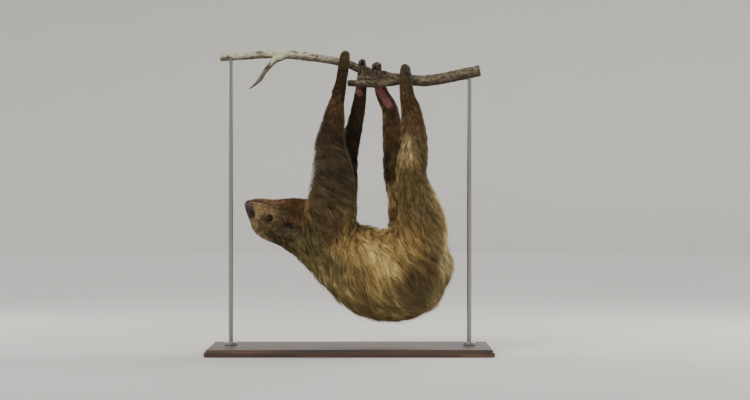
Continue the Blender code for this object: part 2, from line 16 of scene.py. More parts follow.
import bmesh
import bpy
import numpy as np
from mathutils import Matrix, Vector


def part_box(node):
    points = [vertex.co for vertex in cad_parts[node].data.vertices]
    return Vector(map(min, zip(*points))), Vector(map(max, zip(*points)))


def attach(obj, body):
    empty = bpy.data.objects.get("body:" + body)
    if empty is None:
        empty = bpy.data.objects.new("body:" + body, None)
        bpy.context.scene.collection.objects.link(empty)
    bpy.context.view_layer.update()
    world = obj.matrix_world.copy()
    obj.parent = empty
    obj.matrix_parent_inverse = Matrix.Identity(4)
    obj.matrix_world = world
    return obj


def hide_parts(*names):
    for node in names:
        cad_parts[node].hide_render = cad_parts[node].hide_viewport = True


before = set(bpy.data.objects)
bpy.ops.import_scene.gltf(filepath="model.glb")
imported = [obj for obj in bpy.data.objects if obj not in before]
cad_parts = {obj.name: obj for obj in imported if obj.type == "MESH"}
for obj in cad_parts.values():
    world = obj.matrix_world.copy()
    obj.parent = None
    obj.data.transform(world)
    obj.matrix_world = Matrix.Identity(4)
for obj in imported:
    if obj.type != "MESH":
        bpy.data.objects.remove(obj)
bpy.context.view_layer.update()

import openvdb as vdb
from mathutils import Vector, noise
from mathutils.bvhtree import BVHTree
from mathutils.kdtree import KDTree

Vec = tuple[float, float, float]
Pair = tuple[float, float]
Array = np.ndarray
Solid = tuple[Array, list[Array]]
Mesh = bpy.types.Mesh
Material = bpy.types.Material
Piece = bpy.types.Object
Socket = bpy.types.NodeSocket
Group = bpy.types.NodeTree
MM = 0.001
BAKE_MAP = "OFBake"
COAT_ATTRIBUTE = "Coat"
BARE_ATTRIBUTE = "Bare"
BODY = "root"
SIDES = {"right": -1.0, "left": 1.0}
log = logging.getLogger("sloth")


def tone(red: float, green: float, blue: float) -> Vec:
    """Linear RGB of a colour that is named by its display values, 0 to 255."""
    parts = (red, green, blue)
    return tuple(((c / 255 + 0.055) / 1.055) ** 2.4 if c > 10 else c / 255 / 12.92 for c in parts)


class Tint(Enum):
    """Colours of the coat and the bare skin. Some are painted light and shade: a highlight on the flank
    and nose, a rim light, the shaded far arm and shade in hollows.
    """

    # Golden tan with a painted highlight of sunlit hair, for the middle of the flank.
    GOLD_HIGHLIGHT = tone(255, 216, 138)
    FLANK = tone(202, 168, 104)
    # Umber. On the flank and by the ear it is painted shade.
    UMBER = tone(74, 55, 30)
    # Painted rim light, on the rump's edge and along the head's lower edge.
    GREY_TAN = tone(158, 140, 94)
    CREAM_RIM_LIGHT = tone(246, 224, 164)
    BACK = tone(114, 95, 63)
    SHOULDER = tone(88, 73, 46)
    NAPE = tone(114, 104, 64)
    RUST = tone(116, 83, 48)
    ARM = tone(72, 52, 29)
    HAND = tone(98, 80, 52)
    SLEEVE = tone(84, 69, 43)
    SHADED_ARM = tone(54, 39, 25)
    SHANK = tone(106, 81, 48)
    KNEE = tone(184, 160, 112)
    THIGH = tone(112, 93, 57)
    BELLY = tone(126, 101, 59)
    CROWN = tone(100, 87, 58)
    CHEEK = tone(116, 100, 68)
    MUZZLE = tone(192, 162, 112)
    JAW = tone(150, 108, 86)
    EYE_PATCH = tone(66, 49, 28)
    NOSE = tone(46, 31, 29)
    # Pinkish purple with a painted highlight, for the top of the nose.
    NOSE_TOP = tone(98, 72, 78)
    # Dark skin and painted shade, for the nostrils and the ears' openings and hollows.
    NOSTRIL = tone(28, 16, 12)
    MOUTH = tone(66, 26, 24)
    PALM = tone(146, 92, 88)
    FOOT = tone(112, 100, 80)


@dataclass(frozen=True)
class Guide:
    """How the coat lies near one place of the body.

    at is the place and lie the hair's direction there. depth is the coat's
    thickness and length the hair's, in millimetres. A pair has a twin at -y.
    """

    at: Vec
    lie: Vec
    depth: float
    length: float
    tint: Tint
    pair: bool = False


def pair(at: Vec, lie: Vec, depth: float, length: float, tint: Tint) -> Guide:
    """A guide on the right side whose mirror image serves the left side."""
    return Guide(at, lie, depth, length, tint, True)


TRUNK_GUIDES = (
    pair((0.01, -0.03, 0.315), (0.25, -0.9, -0.3), 16, 36, Tint.BELLY),
    pair((0.07, -0.03, 0.305), (0.35, -0.9, -0.3), 16, 40, Tint.BELLY),
    pair((0.12, -0.03, 0.3), (0.35, -0.9, -0.3), 16, 40, Tint.BELLY),
    pair((0.000, -0.09, 0.26), (0.22, 0.0, -1.0), 26, 74, Tint.FLANK),
    # Painted highlight: the flank's middle in sunlit gold.
    pair((0.06, -0.105, 0.25), (0.5, 0.0, -0.87), 28, 84, Tint.GOLD_HIGHLIGHT),
    pair((0.13, -0.1, 0.25), (0.5, 0.0, -0.87), 28, 84, Tint.FLANK),
    pair((-0.03, -0.085, 0.2), (0.28, 0.0, -0.96), 30, 86, Tint.GREY_TAN),
    pair((0.05, -0.109, 0.19), (0.45, 0.0, -0.89), 34, 92, Tint.FLANK),
    pair((0.13, -0.105, 0.19), (0.55, 0.0, -0.83), 34, 90, Tint.THIGH),
    pair((-0.03, -0.05, 0.135), (0.6, 0.0, -0.8), 34, 90, Tint.GREY_TAN),
    pair((0.05, -0.06, 0.1), (0.75, 0.0, -0.65), 38, 80, Tint.GREY_TAN),
    pair((0.13, -0.06, 0.1), (0.9, 0.0, -0.43), 38, 80, Tint.GREY_TAN),
    Guide((-0.03, 0.0, 0.125), (0.8, 0.0, -0.6), 34, 70, Tint.GREY_TAN),
    Guide((0.06, 0.0, 0.074), (1.0, 0.0, -0.1), 38, 78, Tint.BACK),
    Guide((0.14, 0.0, 0.08), (1.0, 0.0, -0.1), 38, 72, Tint.BACK),
    pair((0.2, -0.06, 0.22), (0.35, 0.0, -0.94), 34, 84, Tint.THIGH),
    pair((0.2, -0.05, 0.13), (0.7, 0.0, -0.7), 36, 74, Tint.GREY_TAN),
    Guide((0.25, 0.0, 0.2), (0.4, 0.0, -0.92), 32, 70, Tint.GREY_TAN),
    Guide((0.19, 0.0, 0.3), (0.5, 0.0, -0.8), 20, 44, Tint.FLANK),
    pair((-0.06, -0.085, 0.3), (0.32, 0.0, -0.95), 24, 66, Tint.SHOULDER),
    pair((-0.1, -0.06, 0.275), (0.55, 0.0, -0.84), 20, 48, Tint.NAPE),
    Guide((-0.11, 0.0, 0.225), (0.8, 0.0, -0.6), 22, 52, Tint.NAPE),
    Guide((-0.07, 0.0, 0.18), (0.7, 0.0, -0.7), 30, 66, Tint.GREY_TAN),
    Guide((-0.11, 0.0, 0.37), (1.0, 0.0, 0.1), 10, 24, Tint.RUST),
    Guide((-0.05, 0.0, 0.34), (1.0, 0.0, -0.2), 16, 34, Tint.RUST),
)
HEAD_GUIDES = (
    Guide((-0.252, 0.0, 0.34), (1.0, 0.0, 0.0), 0.4, 5, Tint.NOSE),
    pair((-0.224, -0.024, 0.34), (0.85, 0.0, -0.5), 1.6, 6, Tint.MUZZLE),
    Guide((-0.226, 0.0, 0.298), (0.75, 0.0, -0.66), 2.0, 7, Tint.CROWN),
    pair((-0.208, -0.034, 0.318), (0.85, 0.0, -0.5), 2.4, 8, Tint.CHEEK),
    pair((-0.192, -0.042, 0.338), (0.95, 0.0, -0.3), 3.0, 9, Tint.MUZZLE),
    pair((-0.16, -0.048, 0.335), (0.95, 0.0, -0.3), 5.0, 14, Tint.CHEEK),
    Guide((-0.232, 0.0, 0.37), (1.0, 0.0, 0.05), 1.2, 5, Tint.MUZZLE),
    pair((-0.19, -0.018, 0.37), (1.0, 0.0, 0.0), 2.2, 7, Tint.JAW),
    pair((-0.15, -0.02, 0.368), (1.0, 0.0, 0.0), 5.0, 14, Tint.RUST),
    pair((-0.19, -0.02, 0.272), (0.82, 0.0, -0.57), 5.0, 15, Tint.CROWN),
    pair((-0.165, -0.046, 0.295), (0.9, 0.0, -0.45), 6.0, 17, Tint.CROWN),
    Guide((-0.165, 0.0, 0.25), (0.82, 0.0, -0.57), 8.0, 22, Tint.CROWN),
    pair((-0.13, -0.052, 0.27), (0.75, 0.0, -0.66), 13, 32, Tint.NAPE),
    pair((-0.132, -0.05, 0.33), (0.9, 0.0, -0.45), 9, 22, Tint.RUST),
)
LIMB_GUIDES = (
    Guide((-0.011, -0.02, 0.705), (0.0, -0.7, -1.0), 2.2, 9, Tint.HAND),
    Guide((-0.02, -0.032, 0.65), (0.05, 0.0, -1.0), 3.5, 13, Tint.ARM),
    Guide((-0.033, -0.04, 0.59), (0.1, 0.0, -1.0), 7, 24, Tint.ARM),
    Guide((-0.045, -0.049, 0.52), (0.55, 0.0, -0.83), 11, 36, Tint.ARM),
    Guide((-0.047, -0.054, 0.47), (0.92, 0.0, -0.4), 14, 46, Tint.SLEEVE),
    Guide((-0.041, -0.058, 0.42), (0.84, 0.0, -0.54), 16, 52, Tint.SLEEVE),
    Guide((-0.045, -0.06, 0.37), (0.7, 0.0, -0.71), 20, 56, Tint.SLEEVE),
    Guide((0.029, 0.028, 0.685), (0.0, -0.7, -1.0), 2.0, 9, Tint.SHADED_ARM),
    Guide((0.024, 0.036, 0.62), (0.0, 0.0, -1.0), 3.5, 14, Tint.ARM),
    Guide((0.008, 0.045, 0.54), (-0.1, 0.0, -1.0), 7, 26, Tint.SHADED_ARM),
    Guide((-0.012, 0.056, 0.45), (0.1, 0.0, -1.0), 12, 38, Tint.SHADED_ARM),
    Guide((-0.034, 0.06, 0.36), (0.3, 0.0, -0.95), 19, 48, Tint.SHADED_ARM),
    Guide((0.133, -0.024, 0.672), (0.0, -0.7, -1.0), 2.2, 9, Tint.SHANK),
    Guide((0.136, -0.036, 0.618), (0.08, 0.0, -1.0), 3.5, 13, Tint.SHANK),
    Guide((0.149, -0.047, 0.55), (0.15, 0.0, -1.0), 7, 26, Tint.SHANK),
    Guide((0.152, -0.06, 0.48), (0.25, 0.0, -0.97), 10, 32, Tint.THIGH),
    Guide((0.15, -0.064, 0.41), (0.35, 0.0, -0.94), 16, 46, Tint.THIGH),
    Guide((0.17, -0.062, 0.33), (0.4, 0.0, -0.92), 24, 60, Tint.THIGH),
    Guide((0.066, 0.028, 0.678), (0.0, -0.7, -1.0), 2.0, 9, Tint.SHANK),
    Guide((0.078, 0.036, 0.622), (0.25, 0.0, -1.0), 3.0, 13, Tint.SHANK),
    Guide((0.101, 0.046, 0.545), (0.15, 0.0, -1.0), 7, 26, Tint.SHANK),
    Guide((0.11, 0.058, 0.45), (0.2, 0.0, -0.98), 11, 36, Tint.SHANK),
    Guide((0.145, 0.062, 0.36), (0.35, 0.0, -0.94), 20, 52, Tint.THIGH),
)
GUIDE_SOFTNESS = 12 * MM
GUIDE_PULL = 2.5
BATCH = 40000
# A marking this near the skin goes to the nearest place, and otherwise straight across.
SETTLE_NEAR = 5 * MM
SETTLE_FAR = 90 * MM


@dataclass(frozen=True)
class Marking:
    """A patch of colour round a line from start to end.

    reach is the patch's half width and edge how sharply it ends. bare, 0 to 1,
    is how free of hair it is. A pair has a twin on the other side.
    """

    start: Vec
    end: Vec
    reach: float
    tint: Tint
    strength: float = 1.0
    bare: float = 0.0
    edge: float = 2.0
    pair: bool = False


MARKINGS = (
    # Flanks, belly and rump.
    # Painted highlight: sunlit gold on the middle of the flank.
    Marking((0.078, -0.1, 0.285), (0.104, -0.108, 0.2), 0.024, Tint.GOLD_HIGHLIGHT, 0.92, pair=True),
    # Painted shade: dark streaks low on the flank and underneath.
    Marking((0.124, -0.102, 0.192), (0.158, -0.09, 0.14), 0.014, Tint.UMBER, 0.55, pair=True),
    Marking((0.176, -0.086, 0.186), (0.206, -0.07, 0.138), 0.015, Tint.UMBER, 0.5, pair=True),
    Marking((0.02, -0.098, 0.186), (0.056, -0.086, 0.13), 0.012, Tint.UMBER, 0.4, pair=True),
    # Painted rim light: a cream edge down the rump.
    Marking((0.216, -0.04, 0.372), (0.24, -0.042, 0.215), 0.024, Tint.CREAM_RIM_LIGHT, 0.95, pair=True),
    Marking((0.235, -0.025, 0.215), (0.215, -0.03, 0.15), 0.022, Tint.CREAM_RIM_LIGHT, 0.6, pair=True),
    # Limbs.
    Marking((0.122, -0.085, 0.508), (0.142, -0.095, 0.46), 0.014, Tint.KNEE, 0.9),
    Marking((0.09, 0.03, 0.468), (0.098, 0.028, 0.412), 0.014, Tint.SHADED_ARM, 0.9),
    Marking((0.098, 0.03, 0.395), (0.106, 0.03, 0.335), 0.012, Tint.KNEE, 0.8),
    Marking((-0.046, -0.055, 0.605), (-0.036, -0.06, 0.575), 0.012, Tint.RUST, 0.5),
    Marking((0.016, -0.02, 0.44), (0.02, -0.02, 0.37), 0.012, Tint.RUST, 0.6),
    # Head.
    Marking((-0.1895, -0.038, 0.326), (-0.1975, -0.036, 0.318), 0.0096, Tint.EYE_PATCH, 0.85, 0, 4, True),
    # Painted shade in the ear's opening, and a painted shadow in a parting of the fur below it.
    Marking((-0.15, -0.05, 0.3095), (-0.137, -0.051, 0.304), 0.0062, Tint.NOSTRIL, 1.0, 0, 4, True),
    Marking((-0.154, -0.05, 0.279), (-0.131, -0.055, 0.2715), 0.006, Tint.UMBER, 0.95, 0, 3, True),
    Marking((-0.139, -0.04, 0.352), (-0.122, -0.046, 0.33), 0.013, Tint.RUST, 0.8, pair=True),
    Marking((-0.142, -0.05, 0.335), (-0.13, -0.052, 0.314), 0.01, Tint.RUST, 0.6, pair=True),
    Marking((-0.192, -0.028, 0.362), (-0.15, -0.032, 0.3605), 0.0072, Tint.JAW, 0.9, pair=True),
    # Painted rim light along the head's lower edge, from the snout back.
    Marking((-0.234, -0.01, 0.301), (-0.198, -0.012, 0.27), 0.011, Tint.CREAM_RIM_LIGHT, 0.5, pair=True),
    Marking((-0.231, -0.018, 0.315), (-0.226, -0.02, 0.307), 0.0075, Tint.MUZZLE, 0.8, pair=True),
    Marking((-0.252, 0.0, 0.356), (-0.244, 0.0, 0.326), 0.0185, Tint.NOSE, 1.0, 1.0, 16),
    Marking((-0.24, -0.015, 0.352), (-0.2365, -0.0175, 0.333), 0.0108, Tint.NOSE, 1.0, 1.0, 12, True),
    # The nose's top: pinkish purple with a painted highlight.
    Marking((-0.248, -0.012, 0.356), (-0.236, -0.017, 0.356), 0.0052, Tint.NOSE_TOP, 0.75, 1.0, 2, True),
    # The nostril: its dark skin and painted shade round the pit.
    Marking((-0.2345, -0.018, 0.34), (-0.2315, -0.019, 0.327), 0.0058, Tint.NOSTRIL, 0.8, 1.0, 4, True),
    Marking((-0.231, -0.014, 0.368), (-0.213, -0.018, 0.368), 0.0064, Tint.MOUTH, 0.95, 1.0, 6, True),
    # Palms and soles.
    Marking((0.0185, 0.019, 0.634), (0.0225, 0.022, 0.624), 0.0085, Tint.PALM, 1.0, 1.0, 8),
    Marking((0.067, 0.018, 0.636), (0.094, 0.02, 0.6), 0.0122, Tint.PALM, 1.0, 1.0, 8),
    Marking((0.13, -0.04, 0.694), (0.134, -0.044, 0.668), 0.018, Tint.FOOT, 0.8, edge=4),
    Marking((0.136, -0.04, 0.667), (0.136, -0.04, 0.664), 0.005, Tint.UMBER, 0.8, edge=4),
    Marking((-0.014, -0.014, 0.69), (-0.02, -0.018, 0.65), 0.0085, Tint.PALM, 1.0, 1.0, 6),
    Marking((0.133, -0.016, 0.66), (0.135, -0.02, 0.62), 0.0095, Tint.PALM, 1.0, 1.0, 6),
)


def unit(vectors: Array) -> Array:
    """The vectors at length one."""
    return vectors / np.maximum(np.linalg.norm(vectors, axis=-1, keepdims=True), 1e-12)


def dots(a: Array, b: Array) -> Array:
    """Row by row dot products, kept as a column."""
    return (a * b).sum(-1, keepdims=True)


def mirrored(place: Vec) -> Vec:
    """The place on the animal's other side."""
    return place[0], -place[1], place[2]


def segment_distance(points: Array, start: Array, end: Array) -> Array:
    """How far points are from a straight line.

    Args:
        points: places, one row each.
        start: the line's one end.
        end: its other end.

    Returns:
        Each point's distance from the line's nearest place.
    """
    along = end - start
    share = ((points - start) @ along / max(along @ along, 1e-12)).clip(0, 1)
    return np.linalg.norm(points - start - share[:, None] * along, axis=1)


@dataclass
class CoatSample:
    """What the coat does at many places: one row each."""

    lie: Array
    depth: Array
    length: Array
    colour: Array
    bare: Array


class CoatField:
    """The coat's lie, depth, length and markings at any place of the body."""

    def __init__(self, guides: Sequence[Guide], marks: Sequence[Marking]) -> None:
        """Keeps the guides, and their twins on the other side, as arrays.

        Args:
            guides: how the coat lies at chosen places.
            marks: the patches painted over the guides' colours.
        """
        rows = []
        for guide in guides:
            rest = (guide.depth * MM, guide.length * MM, *guide.tint.value)
            rows.append((*guide.at, *guide.lie, *rest))
            if guide.pair:
                rows.append((*mirrored(guide.at), *mirrored(guide.lie), *rest))
        table = np.array(rows)
        self.at, self.values = table[:, :3], table[:, 3:]
        self.strokes = []
        for mark in marks:
            self.strokes.append((mark, np.array(mark.start), np.array(mark.end), 1.0))
            if mark.pair:
                start, end = np.array(mirrored(mark.start)), np.array(mirrored(mark.end))
                self.strokes.append((mark, start, end, -1.0))

    def settle(self, tree: BVHTree) -> None:
        """Moves the markings onto the skin.

        Args:
            tree: the skin's surface.
        """
        self.strokes = [
            (mark, self.settled(tree, start, side), self.settled(tree, end, side), side)
            for mark, start, end, side in self.strokes
        ]

    @staticmethod
    def settled(tree: BVHTree, place: Array, side: float) -> Array:
        """A place moved onto the skin, straight across the body where it is far.

        Args:
            tree: the skin's surface.
            place: where it is now.
            side: which way across is outwards.

        Returns:
            The place on the skin.
        """
        near = tree.find_nearest(place)
        if near[3] > SETTLE_NEAR:
            across = tree.ray_cast(place, (0.0, side, 0.0), SETTLE_FAR)
            near = across if across[0] is not None else near
        return np.array(near[0])

    def blend(self, points: Array) -> Array:
        """The guides' values at the points, each nearest guide counting most.

        Args:
            points: places, one row each.

        Returns:
            Rows of lie, depth, length and colour.
        """
        made = np.empty((len(points), self.values.shape[1]))
        for first in range(0, len(points), BATCH):
            rows = slice(first, first + BATCH)
            apart = ((points[rows, None] - self.at) ** 2).sum(2) + GUIDE_SOFTNESS**2
            weight = apart**-GUIDE_PULL
            made[rows] = (weight / weight.sum(1, keepdims=True)) @ self.values
        return made

    def depth(self, points: Array) -> Array:
        """The coat's depth at the points."""
        return self.blend(points)[:, 3]

    def sample(self, points: Array, normals: Array) -> CoatSample:
        """Everything about the coat at points of the skin.

        Args:
            points: places on the skin.
            normals: the skin's outward directions there.

        Returns:
            The coat at each point, its lie turned into the skin's surface.
        """
        values = self.blend(points)
        lie = values[:, :3] - normals * dots(values[:, :3], normals)
        colour, bare = values[:, 5:8], np.zeros(len(points))
        ragged = 1 + 0.10 * np.sin(points @ (310, 170, 240)) * np.sin(points @ (-190, 260, 330))
        for mark, start, end, _ in self.strokes:
            apart = segment_distance(points, start, end)
            cover = np.exp(-((apart * ragged / mark.reach) ** mark.edge))
            share = (cover * mark.strength)[:, None]
            colour = colour * (1 - share) + np.array(mark.tint.value) * share
            bare = np.maximum(bare, cover * mark.bare)
        return CoatSample(unit(lie), values[:, 3], values[:, 4], colour, bare)


def clouds(places: Array, *detail: float) -> Array:
    """Smooth noise at many places.

    Args:
        places: where, in units of the noise's own grain.
        *detail: for rough noise, its roughness, its step in size and its layers.

    Returns:
        A value at each place.
    """
    if detail:
        return np.array([noise.fractal(Vector(place), *detail) for place in places])
    return np.array([noise.noise(Vector(place)) for place in places])


def relaxed(points: Array, edges: Array, rounds: int, amount: Array | float = 0.5) -> Array:
    """The points after each has been drawn towards its neighbours' middle.

    Args:
        points: places, one row each.
        edges: pairs of neighbours.
        rounds: how often the points are drawn.
        amount: the share of the way that they move each time.

    Returns:
        The new places.
    """
    a, b, size = edges[:, 0], edges[:, 1], len(points)
    count = np.bincount(a, minlength=size) + np.bincount(b, minlength=size)
    count = np.maximum(count, 1)[:, None]
    for _ in range(rounds):
        total = [np.bincount(a, p[b], size) + np.bincount(b, p[a], size) for p in points.T]
        points = points + amount * (np.stack(total, 1) / count - points)
    return points


@dataclass
class Shell:
    """A closed surface of points and faces of four corners."""

    points: Array
    faces: Array

    def edges(self) -> Array:
        """Each face's pairs of neighbouring points."""
        return np.concatenate([self.faces[:, [k, (k + 1) % 4]] for k in range(4)])

    def normals(self) -> Array:
        """The outward directions.

        Returns:
            One at each point, from the faces round it.
        """
        corners, size = self.faces.T, len(self.points)
        a, b, c, d = (self.points[corner] for corner in corners)
        across = np.cross(c - a, d - b)
        sums = [sum(np.bincount(corner, part, size) for corner in corners) for part in across.T]
        return unit(np.stack(sums, 1))

    def smoothed(self, rounds: int) -> "Shell":
        """The shell with its bumps drawn flat."""
        return Shell(relaxed(self.points, self.edges(), rounds), self.faces)


class Volume:
    """A grid of distances to a surface, from which new surfaces are drawn."""

    def __init__(self, points: Array, faces: Array, voxel: float, inside: float) -> None:
        """Measures the distances.

        Args:
            points: the surface's points.
            faces: its faces, all of three or all of four corners.
            voxel: the grid's spacing.
            inside: how deep inside the distances are measured.
        """
        self.voxel = voxel
        self.transform = vdb.createLinearTransform(voxelSize=voxel)
        kind = "triangles" if faces.shape[1] == 3 else "quads"
        self.grid = vdb.FloatGrid.createLevelSetFromPolygons(
            np.ascontiguousarray(points, dtype=np.float32),
            transform=self.transform,
            exBandWidth=4.0,
            inBandWidth=inside / voxel,
            **{kind: np.ascontiguousarray(faces, dtype=np.uint32)},
        )

    def surface(self, level: float = 0.0) -> Shell:
        """Draws a surface.

        Args:
            level: how far outside the measured surface it lies.

        Returns:
            The surface, its faces turned outwards.
        """
        points, quads = self.grid.convertToQuads(isovalue=level)
        shell = Shell(points.astype(float), quads.astype(np.int64))
        spread = shell.points - shell.points.mean(0)
        if dots(spread, shell.normals()).sum() < 0:
            shell.faces = shell.faces[:, ::-1].copy()
        return shell

    def deepen(self, depth: Callable[[Array], Array]) -> None:
        """Moves the surface inwards by a depth that depends on the place.

        Args:
            depth: gives the depth at each of many places.
        """
        low, high = self.grid.evalActiveVoxelBoundingBox()
        low = np.array(low) - 2
        values = np.zeros(np.array(high) + 3 - low, dtype=np.float32)
        corner = tuple(int(i) for i in low)
        self.grid.copyToArray(values, ijk=corner)
        near = values < 2 * self.voxel
        values[near] += depth((np.argwhere(near) + low) * self.voxel)
        deeper = vdb.FloatGrid(4 * self.voxel)
        deeper.transform = self.transform
        deeper.copyFromArray(values, ijk=corner)
        self.grid = deeper


def new_object(name: str, mesh: Mesh, material: Material | None = None, crisp: bool = False) -> Piece:
    """A scene object around a mesh.

    Args:
        name: the piece's name.
        mesh: its shape.
        material: its finish, if it has one.
        crisp: whether its large flat faces look flat.

    Returns:
        The linked object.
    """
    made = bpy.data.objects.new(name, mesh)
    bpy.context.scene.collection.objects.link(made)
    if material:
        mesh.materials.clear()
        mesh.materials.append(material)
    if crisp:
        made.modifiers.new("edges", "WEIGHTED_NORMAL")
    return made


def smooth(mesh: Mesh) -> None:
    """Makes all of the mesh's faces shade smoothly."""
    mesh.polygons.foreach_set("use_smooth", np.ones(len(mesh.polygons), dtype=bool))


def mesh_of(name: str, points: Array, faces: Sequence[Array]) -> Mesh:
    """A smoothly shaded mesh from arrays.

    Args:
        name: the mesh's name.
        points: its points.
        faces: arrays of faces, each with its own number of corners.

    Returns:
        The mesh, its faces in the order given.
    """
    mesh = bpy.data.meshes.new(name)
    mesh.vertices.add(len(points))
    mesh.vertices.foreach_set("co", points.astype(np.float32).ravel())
    sizes = np.concatenate([np.full(len(part), part.shape[1]) for part in faces])
    mesh.loops.add(int(sizes.sum()))
    corners = np.concatenate([part.ravel() for part in faces]).astype(np.int32)
    mesh.loops.foreach_set("vertex_index", corners)
    mesh.polygons.add(len(sizes))
    starts = np.concatenate([[0], np.cumsum(sizes)[:-1]]).astype(np.int32)
    mesh.polygons.foreach_set("loop_start", starts)
    smooth(mesh)
    mesh.update(calc_edges=True)
    return mesh


def flipped(faces: Sequence[Array]) -> list[Array]:
    """The faces with their other sides outwards."""
    return [part[:, ::-1] for part in faces]


def read(things: bpy.types.bpy_prop_collection, name: str, kind: type, width: int) -> Array:
    """Reads one property of all the members of a collection.

    Args:
        things: the collection.
        name: the property.
        kind: its kind of number.
        width: how many numbers each member holds.

    Returns:
        The numbers, one row for each member.
    """
    found = np.empty(len(things) * width, dtype=kind)
    things.foreach_get(name, found)
    return found.reshape(-1, width)


def points_of(mesh: Mesh) -> Array:
    """The mesh's points."""
    return read(mesh.vertices, "co", np.float32, 3).astype(float)


def triangles_of(mesh: Mesh) -> Array:
    """The mesh's faces, parted into triangles."""
    mesh.calc_loop_triangles()
    return read(mesh.loop_triangles, "vertices", np.int32, 3)


def edges_of(mesh: Mesh) -> Array:
    """The mesh's edges as pairs of points."""
    return read(mesh.edges, "vertices", np.int32, 2)


def normals_of(mesh: Mesh) -> Array:
    """The mesh's outward direction at each point."""
    return read(mesh.vertex_normals, "vector", np.float32, 3).astype(float)


def set_points(mesh: Mesh, points: Array) -> None:
    """Moves the mesh's points."""
    mesh.vertices.foreach_set("co", points.astype(np.float32).ravel())
    mesh.update()


def set_colours(mesh: Mesh, name: str, colours: Array) -> None:
    """Stores colours on a mesh.

    Args:
        mesh: the mesh.
        name: what the colours are stored as.
        colours: one row for each point.
    """
    layer = mesh.color_attributes.new(name, "FLOAT_COLOR", "POINT")
    full = np.ones((len(colours), 4), dtype=np.float32)
    full[:, :3] = colours
    layer.data.foreach_set("color", full.ravel())


def set_values(mesh: Mesh, name: str, values: Array) -> None:
    """Stores a number at each point of the mesh."""
    layer = mesh.attributes.new(name, "FLOAT", "POINT")
    layer.data.foreach_set("value", values.astype(np.float32))


def nearest_rows(places: Array, points: Array) -> Array:
    """Finds the nearest of some points to each place.

    Args:
        places: anywhere, one row each.
        points: what is searched.

    Returns:
        The row of the nearest point for each place.
    """
    tree = KDTree(len(points))
    for index, point in enumerate(points):
        tree.insert(point, index)
    tree.balance()
    return np.array([tree.find(place)[1] for place in places])


def cad_shape(names: Sequence[str]) -> tuple[Array, Array, Array]:
    """The CAD nodes' surfaces in one list.

    Args:
        names: the nodes.

    Returns:
        Their points, their triangles and each point's place in names.
    """
    points, triangles, owner, first = [], [], [], 0
    for index, name in enumerate(names):
        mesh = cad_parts[name].data
        found = points_of(mesh)
        points.append(found)
        triangles.append(triangles_of(mesh) + first)
        owner.append(np.full(len(found), index))
        first += len(found)
    return np.concatenate(points), np.concatenate(triangles), np.concatenate(owner)


def box_of(node: str) -> tuple[Array, Array]:
    """A CAD node's middle and its size."""
    low, high = (np.array(corner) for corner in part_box(node))
    return (low + high) / 2, high - low


@dataclass(frozen=True)
class Press:
    """A soft push on the skin, in millimetres along its outward direction."""

    at: Vec
    reach: Vec
    push: float
    pair: bool = True


HEAD_PRESSES = (
    Press((-0.248, -0.011, 0.344), (6, 7, 11), 0.9),
    Press((-0.252, 0.0, 0.348), (12, 1.5, 12), -1.1, False),
    Press((-0.222, -0.027, 0.345), (12, 10, 11), 0.9),
    Press((-0.203, -0.035, 0.327), (6, 8, 9), -1.3),
    Press((-0.224, 0.0, 0.296), (12, 12, 9), -0.8, False),
    Press((-0.181, -0.042, 0.3085), (11, 8, 6), 1.3),
    Press((-0.175, -0.044, 0.342), (14, 10, 9), 1.2),
    Press((-0.239, -0.017, 0.338), (5, 5, 9), 1.4),
    Press((-0.233, -0.019, 0.335), (3.4, 5, 5.0), -3.8),
    Press((-0.231, -0.0198, 0.3285), (2.6, 5, 4.0), -2.6),
)
MOUTH_LINE = (
    (-0.254, 0.0, 0.362),
    (-0.245, -0.008, 0.3632),
    (-0.232, -0.0145, 0.3645),
    (-0.214, -0.0225, 0.3625),
    (-0.195, -0.029, 0.3575),
    (-0.177, -0.035, 0.349),
)
NOSTRIL = (-0.232, -0.0190, 0.333)
FINGER_CREASES = (
    ((-0.0105, -0.01, 0.728), (-0.016, -0.05, 0.672)),
    ((0.0295, 0.01, 0.71), (0.028, 0.052, 0.655)),
    ((0.1285, -0.01, 0.695), (0.13, -0.05, 0.64)),
    ((0.1375, -0.01, 0.695), (0.139, -0.05, 0.64)),
    ((0.06, 0.01, 0.702), (0.064, 0.052, 0.645)),
    ((0.0692, 0.01, 0.702), (0.074, 0.052, 0.645)),
    ((0.118, -0.046, 0.6585), (0.152, -0.047, 0.6575)),
)


